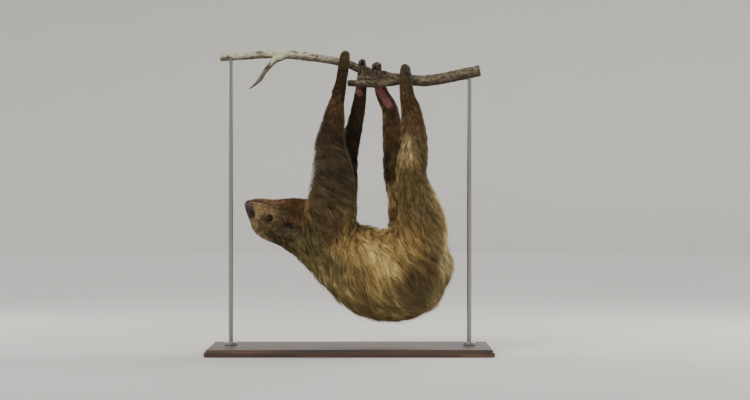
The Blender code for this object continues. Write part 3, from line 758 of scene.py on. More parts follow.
@dataclass
class Tile:
    """A rectangle of the unwrap that holds one stretch of the body.

    axis is the coordinate along that stretch, and cap the radius inside which
    its closed ends are laid out as rings.
    """

    nodes: tuple[str, ...]
    axis: int
    cap: float
    low: Pair
    high: Pair
    bands: int = 25
    gap: float = 0.04
    margin: float = 0.01

    def place(self, points: Array) -> Array:
        """Lays the corners of faces out flat.

        Args:
            points: the faces' corners, as an array of faces by corners by 3.

        Returns:
            The corners' places in the unit square.
        """
        flat = points.reshape(-1, 3)
        along = flat[:, self.axis]
        across = flat[:, [k for k in range(3) if k != self.axis]]
        low, high = along.min(), along.max()
        bins = np.linspace(low, high, self.bands + 1)
        slot = np.digitize(along, bins[1:-1])
        count = np.bincount(slot, minlength=self.bands)
        used = count > 0
        middles = ((bins[1:] + bins[:-1]) / 2)[used]
        means = [np.bincount(slot, part, self.bands)[used] / count[used] for part in across.T]
        out = across - np.stack([np.interp(along, middles, mean) for mean in means], 1)
        radius = np.linalg.norm(out, axis=1)
        closed = self.cap - np.minimum(radius, self.cap)
        along = along - closed * (along < low + self.cap)
        along = along + closed * (along > high - self.cap)
        turn = (np.arctan2(out[:, 0], out[:, 1]) / (2 * math.pi) + 0.5).reshape(points.shape[:2])
        turn = turn[:, :1] + (turn - turn[:, :1] + 0.5) % 1.0 - 0.5
        share = (along - along.min()) / (along.max() - along.min())
        u = self.gap + (1 - 2 * self.gap) * turn
        v = self.margin + (1 - 2 * self.margin) * share.reshape(u.shape)
        return self.low + np.stack([u, v], 2) * np.subtract(self.high, self.low)


def limb(kind: str, side: str) -> tuple[str, ...]:
    """The nodes of one limb, from the body outwards."""
    parts = ("upper_arm", "forearm", "hand") if kind == "arm" else ("thigh", "shank", "foot")
    return tuple(f"{part}_{side}" for part in parts)


TILES = (
    Tile(("neck", "trunk"), 0, 0.05, (0.0, 0.0), (0.60, 0.60)),
    Tile(("head", "nose"), 0, 0.018, (0.0, 0.62), (0.60, 1.0)),
    Tile(limb("arm", "right"), 2, 0.008, (0.62, 0.0), (0.80, 0.49)),
    Tile(limb("arm", "left"), 2, 0.008, (0.82, 0.0), (1.0, 0.49)),
    Tile(limb("leg", "right"), 2, 0.008, (0.62, 0.51), (0.80, 1.0)),
    Tile(limb("leg", "left"), 2, 0.008, (0.82, 0.51), (1.0, 1.0)),
)


@dataclass
class EyeSeat:
    """Where an eye sits, read from its CAD node, and the lids' opening."""

    side: float
    middle: Array
    radius: float
    turn: float = math.radians(22.0)
    half_wide: float = 5.4 * MM
    half_high: float = 4.1 * MM
    lid: float = 0.55 * MM
    fold: float = 0.5 * MM
    arch: float = 0.8 * MM
    reach: float = 2.6

    @classmethod
    def of(cls, name: str) -> "EyeSeat":
        """The seat of the eye on a named side."""
        middle, size = box_of(f"eye_{name}")
        return cls(SIDES[name], middle, float(size[2]) / 2)

    def axes(self) -> tuple[Array, Array, Array]:
        """The eye's own directions.

        Returns:
            Along the opening, across it and out of the eye.
        """
        c, s = math.cos(self.turn), math.sin(self.turn)
        out = np.array([-s, self.side * c, 0.0])
        along = np.array([c, self.side * s, 0.0])
        return along, np.array([0.0, 0.0, 1.0]), out

    def opening(self, points: Array) -> Array:
        """How far points are from the opening's middle.

        Args:
            points: places, one row each.

        Returns:
            Less than 1 inside the opening, and much more behind the eye.
        """
        along, up, out = self.axes()
        rest = points - self.middle
        a, b, ahead = rest @ along, rest @ up, rest @ out
        b = b + self.arch * np.cos(a / self.half_wide * 1.5)
        apart = np.hypot(a / self.half_wide, b / self.half_high)
        return np.where(ahead > 0, apart, 99.0)

    def shape_lids(self, points: Array) -> Array:
        """Lays the skin over the eyeball, with an open slit for the eye.

        Args:
            points: the skin's points.

        Returns:
            The points with the lids in place.
        """
        out = self.axes()[2]
        rest = points - self.middle
        ahead = rest @ out
        flat = rest - ahead[:, None] * out
        apart = self.opening(points)
        spread = np.linalg.norm(flat, axis=1)
        thick = self.lid * (1 + 0.9 * np.exp(-(((apart - 1.25) / 0.22) ** 2)))
        thick -= self.fold * np.exp(-(((apart - 1.75) / 0.14) ** 2))
        ball = np.sqrt(np.maximum((self.radius + thick) ** 2 - spread**2, 0.0))
        blend = ((self.reach - apart) / 1.1).clip(0, 1)
        blend = blend * blend * (3 - 2 * blend)
        height = ahead * (1 - blend) + np.maximum(ball, 0.25 * self.radius) * blend
        inside = ((1.04 - apart) / 0.12).clip(0, 1)
        height = height * (1 - inside) + 0.35 * self.radius * inside
        near = (apart < self.reach)[:, None]
        return np.where(near, self.middle + flat + height[:, None] * out, points)


@dataclass
class Hide:
    """The one skin, which lies inside the flesh by the coat's depth."""

    field: CoatField
    eyes: tuple[EyeSeat, EyeSeat]
    voxel: float = 3.1 * MM
    closing: float = 1.0 * MM
    outer_rounds: int = 9
    skin_rounds: int = 7
    deepest: float = 54 * MM
    thin: Pair = (6 * MM, 12 * MM)
    most_push: float = 9 * MM
    crease_depth: float = 1.1 * MM
    mouth_depth: float = 2.2 * MM
    face_ends: float = -0.178
    muzzle_ends: float = -0.222
    work_ends: float = -0.165
    mesh: Mesh = field(init=False)

    @property
    def nodes(self) -> tuple[str, ...]:
        """The CAD nodes that the skin stands for."""
        return tuple(name for tile in TILES for name in tile.nodes)

    def draw(self) -> Shell:
        """The flesh drawn as one surface and moved in by the coat's depth.

        Returns:
            The skin before its face is shaped.
        """
        points, triangles, _ = cad_shape(self.nodes)
        flesh = Volume(points, triangles, self.voxel, 3 * self.voxel)
        whole = flesh.surface(self.closing)
        outer = whole.smoothed(self.outer_rounds)
        volume = Volume(outer.points, outer.faces, self.voxel, self.deepest)
        volume.deepen(lambda places: self.field.depth(places) + self.closing)
        return self.restored(volume.surface().smoothed(self.skin_rounds), whole)

    def restored(self, skin: Shell, whole: Shell) -> Shell:
        """The skin with its head, hands and feet as full again as the flesh.

        Args:
            skin: the skin, which smoothing has drawn in there.
            whole: the flesh before it was smoothed.

        Returns:
            The skin at the coat's depth under the flesh where the coat is thin.
        """
        tree = BVHTree.FromPolygons(whole.points.tolist(), whole.faces.tolist())
        apart = np.array([tree.find_nearest(place)[3] for place in skin.points])
        depth = self.field.depth(skin.points)
        thin = ((self.thin[1] - depth) / (self.thin[1] - self.thin[0])).clip(0, 1)
        push = (apart - self.closing - depth).clip(0, self.most_push) * thin
        push = relaxed(push[:, None], skin.edges(), 4)
        return Shell(skin.points + skin.normals() * push, skin.faces)

    def refine(self) -> None:
        """Parts the face's mesh more finely, most of all round eyes, nose and mouth."""
        steps = (
            (lambda p: p[:, 0] < self.face_ends, 3),
            (lambda p: (p[:, 0] < self.muzzle_ends) | self.close_work(p, 1.45), 2),
            (self.close_work, 2),
        )
        for wanted, rounds in steps:
            bm = bmesh.new()
            bm.from_mesh(self.mesh)
            inside = wanted(points_of(self.mesh))
            chosen = [e for e in bm.edges if all(inside[v.index] for v in e.verts)]
            bmesh.ops.subdivide_edges(bm, edges=chosen, cuts=1, use_grid_fill=True)
            bm.to_mesh(self.mesh)
            bm.free()
            points = points_of(self.mesh)
            amount = 0.5 * wanted(points)[:, None]
            set_points(self.mesh, relaxed(points, edges_of(self.mesh), rounds, amount))

    def close_work(self, points: Array, wider: float = 1.0) -> Array:
        """Which points need the finest mesh.

        Args:
            points: the skin's points.
            wider: how much wider than the features themselves.

        Returns:
            True for the points round the eyes, the nostrils and the mouth.
        """
        near = self.from_mouth(points) < 3 * MM * wider
        for seat in self.eyes:
            near |= seat.opening(points) < 2.0 * wider
        for side in (points, points * (1.0, -1.0, 1.0)):
            near |= np.linalg.norm(side - NOSTRIL, axis=1) < 6 * MM * wider
        return near & (points[:, 0] < self.work_ends)

    def from_mouth(self, points: Array) -> Array:
        """How far points are from the mouth's line, seen from the side."""
        line, side = np.array(MOUTH_LINE)[:, [0, 2]], points[:, [0, 2]]
        return np.min([segment_distance(side, a, b) for a, b in zip(line, line[1:])], axis=0)

    def sculpt(self) -> None:
        """Presses the face, the mouth, the lids and the fingers into the skin."""
        points = points_of(self.mesh)
        normals = normals_of(self.mesh)
        for press in HEAD_PRESSES:
            for at in (press.at, mirrored(press.at))[: 1 + press.pair]:
                rest = points - at
                out = normals[(rest**2).sum(1).argmin()]
                weight = np.exp(-1.4 * ((rest / MM / press.reach) ** 2).sum(1))
                points = points + out * (press.push * MM * weight)[:, None]
        set_points(self.mesh, points)
        normals = normals_of(self.mesh)
        apart = self.from_mouth(points) / MM
        groove = np.exp(-((apart / 0.9) ** 2)) * -self.mouth_depth
        groove += np.exp(-(((apart - 2.4) / 1.3) ** 2)) * 0.5 * MM
        points = points + normals * groove[:, None]
        for start, end in FINGER_CREASES:
            apart = segment_distance(points, *np.array((start, end))) / MM
            points = points - normals * (self.crease_depth * np.exp(-((apart / 3.0) ** 2)))[:, None]
        for seat in self.eyes:
            points = seat.shape_lids(points)
        set_points(self.mesh, points)

    def unwrap(self) -> None:
        """Lays the skin out flat, one stretch of the body to each tile."""
        points, _, owner = cad_shape(self.nodes)
        tile_of = np.array([k for k, tile in enumerate(TILES) for _ in tile.nodes])
        mesh = self.mesh
        middles = read(mesh.polygons, "center", np.float32, 3)
        chosen = tile_of[owner[nearest_rows(middles, points)]]
        starts = read(mesh.polygons, "loop_start", np.int32, 1)
        sizes = read(mesh.polygons, "loop_total", np.int32, 1)
        corners = read(mesh.loops, "vertex_index", np.int32, 1)[:, 0]
        places = points_of(mesh)
        flat = np.zeros((len(corners), 2))
        # Each face's own corners, the last one again where others have more.
        loops = starts + np.minimum(np.arange(sizes.max())[None, :], sizes - 1)
        for index, tile in enumerate(TILES):
            mine = loops[chosen == index]
            flat[mine] = tile.place(places[corners[mine]])
        layer = mesh.uv_layers.new(name=BAKE_MAP)
        layer.uv.foreach_set("vector", flat.astype(np.float32).ravel())

    def build(self, material: Material) -> Piece:
        """Makes the skin.

        Args:
            material: its finish.

        Returns:
            The skin's object, which stands for the nodes of flesh.
        """
        shell = self.draw()
        self.mesh = mesh_of("skin", shell.points, [shell.faces])
        self.refine()
        self.sculpt()
        self.unwrap()
        smooth(self.mesh)
        points = points_of(self.mesh)
        self.field.settle(BVHTree.FromPolygons(points.tolist(), triangles_of(self.mesh).tolist()))
        coat = self.field.sample(points, normals_of(self.mesh))
        mouth = np.exp(-((self.from_mouth(points) / (1.3 * MM)) ** 4))[:, None]
        colours = coat.colour * (1 - mouth) + np.array(Tint.MOUTH.value) * mouth
        shade = 0.42 + 0.58 * coat.bare**3
        set_colours(self.mesh, COAT_ATTRIBUTE, colours * shade[:, None])
        set_values(self.mesh, BARE_ATTRIBUTE, coat.bare)
        made = new_object("skin", self.mesh, material)
        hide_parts(*self.nodes)
        return made


@dataclass
class Pelt:
    """The skin as arrays for growing hair on it: one row for each triangle."""

    corners: Array
    normals: Array
    area: Array
    coat: CoatSample
    spot: Array
    tree: BVHTree

    @classmethod
    def of(cls, hide: Hide) -> "Pelt":
        """Reads the finished skin.

        Args:
            hide: the skin.

        Returns:
            Its triangles with the coat at each.
        """
        mesh = hide.mesh
        points, triangles = points_of(mesh), triangles_of(mesh)
        soft = relaxed(normals_of(mesh), edges_of(mesh), 6)
        corners = points[triangles]
        middle = corners.mean(1)
        normals = unit(soft[triangles].mean(1))
        across = np.cross(corners[:, 1] - corners[:, 0], corners[:, 2] - corners[:, 0])
        loops = read(mesh.loop_triangles, "loops", np.int32, 3)
        flat = read(mesh.uv_layers[BAKE_MAP].uv, "vector", np.float32, 2)
        coat = hide.field.sample(middle, normals)
        for seat in hide.eyes:
            coat.bare = np.maximum(coat.bare, seat.opening(middle) < 1.35)
        coat.bare = np.maximum(coat.bare, hide.from_mouth(middle) < 1.6 * MM)
        return cls(
            corners,
            normals,
            np.linalg.norm(across, axis=1) / 2,
            coat,
            flat[loops].mean(1),
            BVHTree.FromPolygons(points.tolist(), triangles.tolist()),
        )

    def nearest(self, places: Array) -> tuple[Array, Array]:
        """The skin's nearest points to some places.

        Args:
            places: anywhere near the skin.

        Returns:
            The points on the skin and the triangles that they lie in.
        """
        found = [self.tree.find_nearest(place) for place in places]
        return np.array([hit[0] for hit in found]), np.array([hit[2] for hit in found])

    def streaks(self, places: Array, faces: Array, width: float, reach: float) -> Array:
        """Noise that is smeared along the lie, so that it runs in streaks.

        Args:
            places: points on the skin.
            faces: the triangles that they lie in.
            width: a streak's width in metres.
            reach: how far it runs each way.

        Returns:
            A value at each point, about 0 and with a spread of 1.
        """
        total = np.zeros(len(places))
        for way in (-1.0, 1.0):
            at, face = places, faces
            for _ in range(STREAK_STEPS):
                at, face = self.nearest(at + self.coat.lie[face] * (way * reach / STREAK_STEPS))
                total += clouds(at / (1.6 * width))
        return (total - total.mean()) / total.std()


@dataclass(frozen=True)
class HairKind:
    """A layer of the coat.

    spacing, length, rise and width are shares of what is usual at a place.
    rings counts a tuft's cross-sections, clump is how far its tip is drawn to
    its lock, and root, tip and shade brighten or darken it.
    """

    name: str
    pieces: int
    rings: int
    lengths: Pair
    spacing: float
    length: float = 1.0
    rise: float = 1.0
    width: float = 1.0
    clump: float = 0.8
    root: float = 0.55
    tip: float = 1.15
    shade: float = 1.0


KINDS = (
    HairKind("coat_under", 1, 2, (12, 200), 2.35, 0.55, 0.62, 1.9, 0.3, 0.55, 0.9, 0.8),
    HairKind("coat_long", 6, 3, (17, 200), 1.0, clump=0.6, root=0.6, tip=1.15),
    HairKind("coat_short", 2, 2, (0, 17), 1.0, clump=0.5, root=0.7, tip=1.12),
    HairKind("coat_guard", 1, 3, (22, 200), 4.6, 1.08, 1.22, 0.75, 0.2, 0.8, 1.35, 1.1),
)
STREAK_STEPS = 4
# What is usual at a hair length, all in millimetres.
HAIR_LENGTHS = (5.0, 9.0, 14.0, 26.0, 45.0, 80.0)
TUFT_SPACING = (1.12, 1.42, 1.75, 2.22, 2.50, 2.52)
TUFT_WIDTH = (0.42, 0.58, 0.76, 0.95, 1.08, 1.18)
LOCK_SPACING = (2.2, 3.2, 4.2, 6.0, 8.5, 11.0)


def usual(lengths: Array, table: Sequence[float]) -> Array:
    """What a table says for some hair lengths, in metres."""
    return np.interp(lengths / MM, HAIR_LENGTHS, table) * MM


@dataclass
class Tufts:
    """The paths and looks of many tufts, one row each."""

    path: Array
    out: Array
    width: Array
    colour: Array
    spot: Array

    def part(self, chosen: Array) -> "Tufts":
        """Some of the tufts."""
        return Tufts(*(getattr(self, name)[chosen] for name in self.__dataclass_fields__))


class TuftMesh:
    """Draws tufts as slim closed solids of three sides that end in a point."""

    patch = 0.003
    flat, ridge, back = 0.5, 0.42, 0.12

    def __init__(self, rings: int) -> None:
        """Lays out the faces of one tuft.

        Args:
            rings: its cross-sections, the first at the root.
        """
        self.rings = rings
        quads, quad_spots, points, point_spots = [], [], [], []
        for ring, side in product(range(rings - 1), range(3)):
            corners = [(side, ring), (side + 1, ring), (side + 1, ring + 1), (side, ring + 1)]
            quads.append([3 * row + column % 3 for column, row in corners])
            quad_spots.append(corners)
        last, tip = 3 * (rings - 1), 3 * rings
        for side in range(3):
            points.append((last + side, last + (side + 1) % 3, tip))
            point_spots.append([(side, rings - 1), (side + 1, rings - 1), (side + 0.5, rings)])
        points.append((2, 1, 0))
        point_spots.append([(2, 0), (1, 0), (1.5, 0.3)])
        self.quads, self.ends = np.array(quads), np.array(points)
        self.spots = [
            np.array(spots, dtype=float) * (self.patch / 3, self.patch / rings) - self.patch / 2
            for spots in (quad_spots, point_spots)
        ]
        shares = np.linspace(0, 1, rings + 1)[:-1]
        self.profile = np.interp(shares, (0, 0.3, 0.65, 1.0), (0.75, 1.0, 0.8, 0.35))

    def build(self, name: str, tufts: Tufts, material: Material) -> Piece:
        """Makes one coat piece.

        Args:
            name: its name.
            tufts: what it holds.
            material: its finish.

        Returns:
            The piece, with its colours and its bake map.
        """
        count, rings = len(tufts.width), self.rings
        path, out = tufts.path, tufts.out
        along = unit(np.gradient(path, axis=1))
        side = unit(np.cross(out, along))
        up = np.cross(along, side)
        wide = (tufts.width[:, None] * self.profile)[:, :, None]
        core, side, up = path[:, :rings], side[:, :rings] * wide, up[:, :rings] * wide
        flat, back = side * self.flat, up * self.back
        ring = np.stack([core - flat - back, core + flat - back, core + up * self.ridge], 2)
        points = np.concatenate([ring.reshape(count, -1, 3), path[:, -1:]], 1)
        size = points.shape[1]
        first = (np.arange(count) * size)[:, None, None]
        faces = [(part[None] + first).reshape(-1, part.shape[1]) for part in (self.quads, self.ends)]
        mesh = mesh_of(name, points.reshape(-1, 3), faces)
        spots = [(tufts.spot[:, None, None] + part[None]).reshape(-1, 2) for part in self.spots]
        layer = mesh.uv_layers.new(name=BAKE_MAP)
        layer.uv.foreach_set("vector", np.concatenate(spots).astype(np.float32).ravel())
        rows = np.repeat(tufts.colour[:, :rings], 3, axis=1)
        colours = np.concatenate([rows, tufts.colour[:, -1:]], 1)
        set_colours(mesh, COAT_ATTRIBUTE, colours.reshape(-1, 3))
        return new_object(name, mesh, material)


@dataclass
class Groomer:
    """Grows the coat on the pelt, or a share of it.

    Of the lock_ and tuft_ fields, a pair of numbers is a range and a single
    number a spread. Turns are radians.
    """

    pelt: Pelt
    seed: int
    share: float = 1.0
    lock_turn: float = 0.12
    lock_sway: float = 0.11
    lock_length: Pair = (0.78, 1.12)
    lock_rise: Pair = (0.72, 1.0)
    lock_shade: float = 0.08
    tuft_turn: float = 0.06
    tuft_length: Pair = (0.72, 1.08)
    tuft_rise: Pair = (0.8, 1.03)
    tuft_draw: Pair = (0.55, 1.0)
    tuft_stray: float = 0.018
    tuft_shade: float = 0.11
    tuft_width: Pair = (0.75, 1.2)
    # The width and the reach of streaks, and how strongly they shade.
    broad: Pair = (11 * MM, 90 * MM)
    fine: Pair = (3 * MM, 60 * MM)
    broad_shade: float = 0.23
    fine_shade: float = 0.27
    mean_shade: float = -0.03
    # How much paler the pale tufts are, bleached hair with a painted highlight, and the share of the tufts
    # that isn't.
    bleach_and_glint: float = 0.38
    plain_share: float = 0.87
    # How far a tuft reaches for its lock, in lengths, and the share that it stays apart.
    reach: float = 0.6
    apart: float = 0.12
    # The bareness from which no hair grows.
    hairless: float = 0.8

    def __post_init__(self) -> None:
        """Starts the random numbers."""
        self.random = np.random.default_rng(self.seed)

    def roots(self, kind: HairKind) -> tuple[Array, Array]:
        """Scatters a layer's roots over the skin.

        Args:
            kind: the layer.

        Returns:
            The roots and the triangles that they lie in.
        """
        pelt = self.pelt
        length = pelt.coat.length
        wanted = (length >= kind.lengths[0] * MM) & (length < kind.lengths[1] * MM)
        each = pelt.area / (usual(length, TUFT_SPACING) * kind.spacing) ** 2
        each = each * self.share * wanted * (pelt.coat.bare < self.hairless)
        total = np.cumsum(each)
        marks = np.arange(int(total[-1])) + self.random.uniform(0, 1, int(total[-1]))
        chosen = np.searchsorted(total, marks).clip(0, len(each) - 1)
        weight = np.sort(self.random.uniform(0, 1, (len(chosen), 2)), axis=1)
        a, b, c = (pelt.corners[chosen, k] for k in range(3))
        first, second = weight[:, :1], weight[:, 1:] - weight[:, :1]
        return a * first + b * second + c * (1 - weight[:, 1:]), chosen

    def lock_roots(self, roots: Array, length: Array) -> Array:
        """Picks roots that stand a lock's width apart.

        Args:
            roots: all the tufts' roots.
            length: the hair's length at each.

        Returns:
            The places of the locks' own roots among them.
        """
        apart = usual(length, LOCK_SPACING)
        cell = float(max(LOCK_SPACING)) * MM
        cells: dict[tuple[int, int, int], list[int]] = {}
        kept = []
        for index in self.random.permutation(len(roots)):
            root, gap = roots[index], apart[index]
            home = tuple(int(v) for v in np.floor(root / cell))
            around = (
                other
                for step in product((-1, 0, 1), repeat=3)
                for other in cells.get(tuple(a + b for a, b in zip(home, step)), ())
            )
            if all(((roots[other] - root) ** 2).sum() > gap * gap for other in around):
                cells.setdefault(home, []).append(index)
                kept.append(index)
        return np.array(kept)

    def trace(
        self, roots: Array, chosen: Array, length: Array, rise: Array, turn: Array, steps: int
    ) -> tuple[Array, Array, Array]:
        """Leads hairs over the skin along the coat's lie.

        Args:
            roots: where they start.
            chosen: the triangles that they start in.
            length: how long each is.
            rise: the share of the coat's depth that each tip reaches.
            turn: how far each turns aside from the lie, one column a step.
            steps: the parts of each path.

        Returns:
            The paths, the outward directions and the triangles under them.
        """
        pelt = self.pelt
        at, face = roots, chosen
        paths, outs, under = [roots - pelt.normals[chosen] * MM], [pelt.normals[chosen]], [chosen]
        for step in range(1, steps + 1):
            normal, lie = pelt.normals[face], pelt.coat.lie[face]
            angle = turn[:, step - 1 : step]
            ahead = lie * np.cos(angle) + np.cross(normal, lie) * np.sin(angle)
            at, face = pelt.nearest(at + ahead * (length / steps)[:, None])
            normal = pelt.normals[face]
            share = step / steps
            height = pelt.coat.depth[face] * rise * (1 - (1 - share) ** 2.0)
            paths.append(at + normal * height[:, None])
            outs.append(normal)
            under.append(face)
        return np.stack(paths, 1), np.stack(outs, 1), np.stack(under, 1)

    def grow(self, kind: HairKind) -> Tufts:
        """Grows one layer of the coat.

        Args:
            kind: the layer.

        Returns:
            Its tufts.
        """
        random, coat, steps = self.random, self.pelt.coat, kind.rings
        roots, chosen = self.roots(kind)
        count = len(roots)
        usual_length = coat.length[chosen]
        heads = self.lock_roots(roots, usual_length)
        lock = nearest_rows(roots, roots[heads])
        # What a lock's tufts share.
        locks = len(heads)
        lock_turn = random.normal(0, self.lock_turn, (locks, 1))
        lock_turn = lock_turn + random.normal(0, self.lock_sway, (locks, steps)).cumsum(1)
        lock_length = random.uniform(*self.lock_length, locks)
        lock_rise = random.uniform(*self.lock_rise, locks)
        broad = self.broad_shade * self.pelt.streaks(roots[heads], chosen[heads], *self.broad)
        lock_shade = np.exp(random.normal(0, self.lock_shade, locks) + broad)
        fine = self.fine_shade * self.pelt.streaks(roots, chosen, *self.fine)
        # What each tuft adds.
        length = usual_length * kind.length * lock_length[lock]
        length = length * random.uniform(*self.tuft_length, count)
        rise = kind.rise * lock_rise[lock] * random.uniform(*self.tuft_rise, count)
        turn = lock_turn[lock] + random.normal(0, self.tuft_turn, (count, 1))
        path, out, under = self.trace(roots, chosen, length, rise, turn, steps)
        lead = path[heads][lock]
        share = np.linspace(0, 1, steps + 1)[None, :, None]
        draw = kind.clump * share**1.5 * random.uniform(*self.tuft_draw, (count, 1, 1))
        aim = lead + (path - lead) * self.apart
        near = np.linalg.norm(path[:, -1] - lead[:, -1], axis=1) < self.reach * usual_length
        path = path + (aim - path) * draw * near[:, None, None]
        stray = random.normal(0, 1, (count, 1, 3))
        path = path + stray * (self.tuft_stray * length[:, None, None] * share**2)
        # A few tufts are paler: bleached hair with a painted highlight where tips catch the light.
        bleach_and_glint_lift = self.bleach_and_glint * (random.uniform(0, 1, count) > self.plain_share)
        shade = np.exp(random.normal(self.mean_shade, self.tuft_shade, count) + fine + bleach_and_glint_lift)
        shade = (lock_shade[lock] * shade)[:, None, None]
        fade = kind.shade * (kind.root + (kind.tip - kind.root) * share**0.8)
        colour = (coat.colour[under] * shade * fade).clip(0, 1)
        width = usual(usual_length, TUFT_WIDTH) * kind.width
        width = width * random.uniform(*self.tuft_width, count)
        return Tufts(path, out, width, colour, self.pelt.spot[chosen])

    def build(self, kind: HairKind, material: Material) -> list[Piece]:
        """Makes a layer's pieces, each spread over the whole body.

        Args:
            kind: the layer.
            material: the coat's finish.

        Returns:
            The pieces.
        """
        tufts = self.grow(kind)
        mesh = TuftMesh(kind.rings)
        order = self.random.permutation(len(tufts.width))
        made = []
        for index in range(kind.pieces):
            part = tufts.part(order[index :: kind.pieces])
            made.append(mesh.build(f"{kind.name}_{index + 1}", part, material))
        return made


def lathe(profile: Sequence[Pair], sides: int) -> Solid:
    """A surface of revolution about +Z.

    Args:
        profile: radius and height, from one end to the other. A radius of
            nought closes that end.
        sides: how many sides a turn has.

    Returns:
        Its points and its faces.
    """
    turn = np.arange(sides) * 2 * math.pi / sides
    circle = np.stack([np.cos(turn), np.sin(turn), np.zeros(sides)], 1)
    points, quads, ends, before = [], [], [], None
    count = 0
    step = np.arange(sides)
    for radius, height in profile:
        ring = circle * radius if radius > 0 else np.zeros((1, 3))
        now = step + count if radius > 0 else np.full(sides, count)
        points.append(ring + (0.0, 0.0, height))
        count += len(ring)
        if before is not None:
            a, b, c, d = before, np.roll(before, -1), np.roll(now, -1), now
            if radius == 0:
                ends.append(np.stack([a, b, c], 1))
            elif (before == before[0]).all():
                ends.append(np.stack([a, c, d], 1))
            else:
                quads.append(np.stack([a, b, c, d], 1))
        before = now
    faces = [np.concatenate(part) for part in (quads, ends) if part]
    return np.concatenate(points), faces


def oriented(points: Array, along: Array, up: Array, out: Array, at: Array) -> Array:
    """Points moved from X, Y and Z to three directions at a place."""
    return points @ np.stack([along, up, out]) + at


def stacked(rings: Sequence[Array]) -> Solid:
    """A closed form through rings of equally many points.

    Args:
        rings: its cross-sections, from the bottom up.

    Returns:
        Its points and its faces.
    """
    sides = len(rings[0])
    step = np.arange(sides)
    after = np.roll(step, -1)
    band = np.stack([step, after, after + sides, step + sides], 1)
    quads = [band + index * sides for index in range(len(rings) - 1)]
    caps = np.stack([step[::-1], step + sides * (len(rings) - 1)])
    return np.concatenate(rings), [np.concatenate(quads), caps]


class Tree:
    """Adds nodes to the tree of a material or a shader group."""

    def __init__(self, tree: Group) -> None:
        """Takes the tree to add to."""
        self.tree = tree

    def feed(self, value: object, socket: Socket) -> None:
        """Links another node's output to an input, or gives the input a value.

        Args:
            value: a socket or a value.
            socket: the input.
        """
        if isinstance(value, Socket):
            self.tree.links.new(value, socket)
        else:
            socket.default_value = value

    def add(self, kind: str, inputs: dict | None = None, **settings: object) -> bpy.types.Node:
        """Adds a node.

        Args:
            kind: the node's type, without the word ShaderNode.
            inputs: values or sockets for its inputs, by name or number.
            **settings: the node's own settings.

        Returns:
            The node.
        """
        made = self.tree.nodes.new(kind if kind.startswith("Node") else f"ShaderNode{kind}")
        for name, value in settings.items():
            setattr(made, name, value)
        for name, value in (inputs or {}).items():
            self.feed(value, made.inputs[name])
        return made

    def get(self, kind: str, inputs: dict | None = None, out: int | str = 0, **settings: object) -> Socket:
        """Adds a node as add does, and gives one of its outputs."""
        return self.add(kind, inputs, **settings).outputs[out]

    def maths(self, operation: str, a: object, b: object = 0.5) -> Socket:
        """The result of a sum on two numbers."""
        return self.get("Math", {0: a, 1: b}, operation=operation)

    def times(self, a: object, b: object) -> Socket:
        """Two numbers multiplied."""
        return self.maths("MULTIPLY", a, b)

    def mix(self, share: object, a: object, b: object, kind: str = "MIX") -> Socket:
        """Two colours put together by a share and a way of blending."""
        a, b = (value if isinstance(value, Socket) else (*value, 1.0) for value in (a, b))
        return self.get("Mix", {0: share, 6: a, 7: b}, 2, data_type="RGBA", blend_type=kind)

    def grey(self, value: Socket) -> Socket:
        """A grey of that brightness."""
        return self.get("CombineColor", {0: value, 1: value, 2: value})

    def shaded(self, colour: object, factor: Socket) -> Socket:
        """A colour made brighter or darker by a factor."""
        return self.mix(1.0, colour, self.grey(factor), "MULTIPLY")

    def ramp(self, value: Socket, *stops: tuple[float, Vec]) -> Socket:
        """A colour read off a ramp of stops.

        Args:
            value: where on the ramp.
            *stops: places on it and their colours.

        Returns:
            The colour.
        """
        node = self.add("ValToRGB", {0: value})
        marks = node.color_ramp.elements
        while len(marks) < len(stops):
            marks.new(1.0)
        for mark, (at, colour) in zip(marks, stops):
            mark.position, mark.color = at, (*colour, 1.0)
        return node.outputs[0]

    def window(self, value: Socket, *limits: float) -> Socket:
        """A number taken from one range, low and high, to another, at first 0 to 1."""
        return self.get("MapRange", {0: value} | dict(enumerate(limits, start=1)))

    def noise(self, at: Socket, scale: float, detail: float, rough: float = 0.5, out: int = 0) -> Socket:
        """Cloudy noise at some places, as a number or, from output 1, as a colour."""
        inputs = {"Vector": at, "Scale": scale, "Detail": detail, "Roughness": rough}
        return self.get("TexNoise", inputs, out)

    def vectors(self, operation: str, a: Socket, b: object) -> Socket:
        """The result of a sum on two vectors."""
        return self.get("VectorMath", {0: a, 1: b}, operation=operation)

    def edges(self, vector: Socket, scale: object) -> Socket:
        """How far places are from the edges of scattered cells."""
        cells = {"Vector": vector, "Scale": scale}
        return self.get("TexVoronoi", cells, feature="DISTANCE_TO_EDGE")


